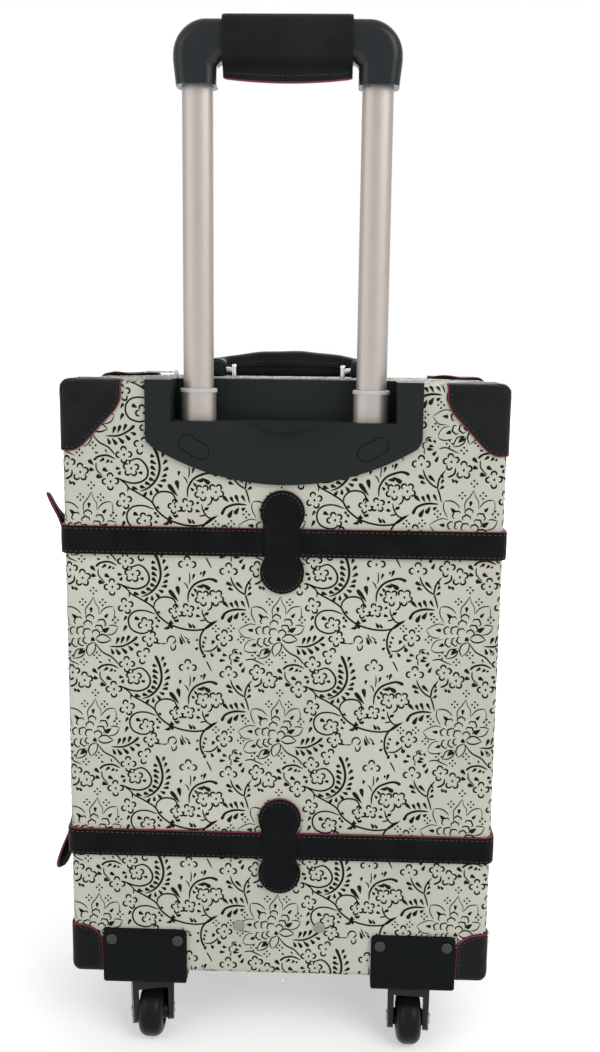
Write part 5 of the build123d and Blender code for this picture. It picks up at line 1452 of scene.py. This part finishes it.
def wheel(middle, hub, radius, half):
    """A wheel turned round the axis along X, with a recessed disc and ribs on each face.

    The profile (x, r) is mirrored in x and closed; a rib is a block from the hub to the tyre.
    """
    turn = np.linspace(0, np.pi / 2, 7)
    tyre = [half - TYRE_R, radius - TYRE_R] + TYRE_R * np.stack([np.cos(turn), np.sin(turn)], 1)
    disc = half - DISC_DEPTH
    side = [(hub, 3.4), (hub, 6.2), (hub - 0.7, 7.0), (disc, 7.3), (disc, DISC_R)]
    lip = [(half - 0.7, 13.1), (half - 0.15, 13.5)]
    right = np.concatenate([side, lip, tyre])
    profile = np.concatenate([right, (right * [-1, 1])[::-1]])
    around = np.arange(WHEEL_SIDES) * 2 * np.pi / WHEEL_SIDES
    far = profile[:, 1:]
    points = np.stack(
        [profile[:, :1] + 0 * around, far * np.cos(around), far * np.sin(around)], 2
    )
    faces = grid_faces(len(profile), WHEEL_SIDES, closed=True)[:, ::-1]
    parts = [(points + middle, faces, 0)]
    count = settings().wheel_ribs
    block = block_corners((0, 1), (-1, 1), (0, 1))
    for sign in (-1, 1):
        for k in range(count):
            way = 2 * np.pi * k / count
            deep = sign * (half - 4.7 + block[:, 0] * 3.6)
            reach, wide = 6.9 + block[:, 2] * 6.0, block[:, 1] * 0.9
            across = reach * np.cos(way) - wide * np.sin(way)
            up = reach * np.sin(way) + wide * np.cos(way)
            rib = np.stack([deep, across, up], 1) + middle
            parts.append((rib, BLOCK_SIDES if sign < 0 else BLOCK_SIDES[:, ::-1], 0))
    return joined(parts)


class Casters(bpy.types.Operator):
    """Makes the ribbed wheels and finishes the brackets, forks, rivets and side studs"""

    bl_idname = "suitcase.casters"
    bl_label = "Casters"

    def execute(self, context):
        for end, side in itertools.product(("back", "front"), ("left", "right")):
            # The brackets get the darker copy of the moulding, painted shade
            dress("shaded_bracket_moulding", f"caster_bracket_{end}_{side}")
            dress("grip_gloss", f"caster_fork_{end}_{side}")
            low, high = box_of(f"caster_wheel_{end}_{side}")
            hub, radius = (high[0] - low[0]) / 2, (high[2] - low[2]) / 2
            points, faces, _ = wheel((low + high) / 2, hub, radius, min(hub, 10.5))
            mesh_piece(
                f"ribbed_wheel_{end}_{side}",
                points,
                faces,
                ["tyre"],
                body=f"wheel_{end}_{side}",
                stands_for=(f"caster_wheel_{end}_{side}",),
            )
            dress("dull_steel", f"caster_axle_{end}_{side}")
        dress("dark_rivet", "caster_rivets")
        dress("dull_steel", "kingpins")
        dress("chrome", "side_studs")
        return {"FINISHED"}


# Floor, light and camera


def seen_or_mirrored(tree):
    """1 for a ray that the camera, a mirror or a glass sends, and 0 for light on the object."""
    rays = node_at(tree, "ShaderNodeLightPath").outputs
    value = rays["Is Camera Ray"]
    for key in ("Is Glossy Ray", "Is Transmission Ray"):
        most = node_at(tree, "ShaderNodeMath", {0: value, 1: rays[key]}, operation="MAXIMUM")
        value = most.outputs["Value"]
    return value


# The camera's place in metres, its turns in degrees, and its focal length in pixels over the
# picture's height
VIEW_PLACE = (0.0387, -0.9481, 0.5981)
VIEW_DOWN, VIEW_TURN, VIEW_ROLL = 9.49, -1.68, 0.69
VIEW_LENS = 1085.6 / 1052 * 36


class Stage(bpy.types.Operator):
    """Sets the pale floor, the soft light and the camera"""

    bl_idname = "suitcase.stage"
    bl_label = "Stage"

    def execute(self, context):
        self.floor()
        self.world(context.scene)
        self.lamp("key_light", (1.9, -2.0, 2.2), (0, 0, 0.38), 2.0, 46)
        self.lamp("fill_light", (-2.0, -1.8, 1.6), (0, 0, 0.35), 2.2, 20)
        self.lamp("back_light", (0.6, 2.2, 1.9), (0, 0, 0.4), 2.0, 24)
        self.camera(context.scene)
        return {"FINISHED"}

    def floor(self):
        """A pale floor that the camera sees as white beyond the shadow."""
        turn = np.linspace(0, 2 * np.pi, 64, endpoint=False)
        rings = [
            np.stack([r * np.cos(turn), r * np.sin(turn), 0 * turn], 1) for r in (0.001, 1, 4, 12)
        ]
        data = bpy.data.meshes.new("floor")
        faces = grid_faces(len(rings), len(turn))[:, ::-1]
        data.from_pydata(np.concatenate(rings).tolist(), [], faces.tolist())
        data.update()
        floor = placed("floor", data)
        tree, shader, where = coated("floor_paper", (0.86, 0.86, 0.86), 0.9)
        paper = tint(tree, noise(tree, where, 3, 2), (0.85, 0.85, 0.85), (0.87, 0.87, 0.87))
        feed(tree, shader.inputs["Base Color"], paper)
        away = node_at(tree, "ShaderNodeVectorMath", {0: where}, operation="LENGTH")
        strength = spread(tree, away.outputs["Value"], 0.35, 1.0, 0.2, 1.3)
        glow = node_at(tree, "ShaderNodeEmission", {"Strength": strength}).outputs["Emission"]
        matt = shader.outputs["BSDF"]
        lit = node_at(tree, "ShaderNodeAddShader", {0: matt, 1: glow}).outputs["Shader"]
        self.show(tree, matt, lit, tree.nodes["Material Output"])
        data.materials.append(finish_of("floor_paper"))

    def show(self, tree, light, seen, output):
        """Sends one shader to the light on the object and another to what the camera sees."""
        inputs = {"Fac": seen_or_mirrored(tree), 1: light, 2: seen}
        both = node_at(tree, "ShaderNodeMixShader", inputs).outputs["Shader"]
        feed(tree, output.inputs["Surface"], both)

    def world(self, scene):
        """Even grey light, seen as white by the camera, in metal and through glass."""
        world = bpy.data.worlds.new("soft_box")
        scene.world = world
        world.use_nodes = True
        tree = world.node_tree
        grey = tree.nodes["Background"]
        feed(tree, grey.inputs["Color"], (1, 1, 1, 1))
        feed(tree, grey.inputs["Strength"], 0.5)
        inputs = {"Color": (1, 1, 1, 1), "Strength": 1.0}
        white = node_at(tree, "ShaderNodeBackground", inputs).outputs["Background"]
        self.show(tree, grey.outputs["Background"], white, tree.nodes["World Output"])

    def lamp(self, name, place, target, size, power):
        """A square soft light turned to a point."""
        data = bpy.data.lights.new(name, "AREA")
        data.size, data.energy = size, power
        way = Vector(target) - Vector(place)
        turned = way.to_track_quat("-Z", "Y").to_matrix().to_4x4()
        placed(name, data).matrix_world = Matrix.Translation(place) @ turned

    def camera(self, scene):
        """The photograph's viewpoint, from a fit to points of the back panel and the top."""
        down, turn, roll = (math.radians(a) for a in (VIEW_DOWN, VIEW_TURN, VIEW_ROLL))
        ahead = Vector(
            (math.sin(turn) * math.cos(down), math.cos(turn) * math.cos(down), -math.sin(down))
        )
        right = Vector((math.cos(turn), -math.sin(turn), 0))
        up = right.cross(ahead)
        rolled_right = math.cos(roll) * right + math.sin(roll) * up
        rolled_up = math.cos(roll) * up - math.sin(roll) * right
        data = bpy.data.cameras.new("view")
        data.sensor_fit = "AUTO"
        data.sensor_width = 36
        data.lens = VIEW_LENS
        data.clip_start, data.clip_end = 0.05, 50
        made = placed("view", data)
        turned = Matrix((rolled_right, rolled_up, -ahead)).transposed().to_4x4()
        made.matrix_world = Matrix.Translation(VIEW_PLACE) @ turned
        scene.camera = made
        scene.view_settings.view_transform = "Standard"


class SUITCASE_PT_pieces(bpy.types.Panel):
    """Lists the suitcase's pieces"""

    bl_idname = "SUITCASE_PT_pieces"
    bl_label = "Suitcase"
    bl_space_type = "VIEW_3D"
    bl_region_type = "UI"
    bl_category = "Suitcase"

    def draw(self, context):
        for made in STEPS:
            self.layout.operator(made.bl_idname)
        for key in SuitcaseSettings.__annotations__:
            self.layout.prop(context.scene.suitcase, key)


STEPS = (
    FinishSet,
    PrintedCovers,
    LeatherCorners,
    Belts,
    BeltTabs,
    HandleHousing,
    Tubes,
    Grip,
    CarryHandle,
    Zip,
    Casters,
    Stage,
)
CLASSES = (SuitcaseSettings, *STEPS, SUITCASE_PT_pieces)


def register():
    """Registers every class and the scene's settings."""
    for made in CLASSES:
        bpy.utils.register_class(made)
    bpy.types.Scene.suitcase = PointerProperty(type=SuitcaseSettings)


def unregister():
    """Takes the settings and classes away again."""
    del bpy.types.Scene.suitcase
    for made in reversed(CLASSES):
        bpy.utils.unregister_class(made)


def main():
    """Makes every piece in order."""
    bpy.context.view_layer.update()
    register()
    for made in STEPS:
        group, name = made.bl_idname.split(".")
        getattr(getattr(bpy.ops, group), name)()


if __name__ == "__main__":
    main()
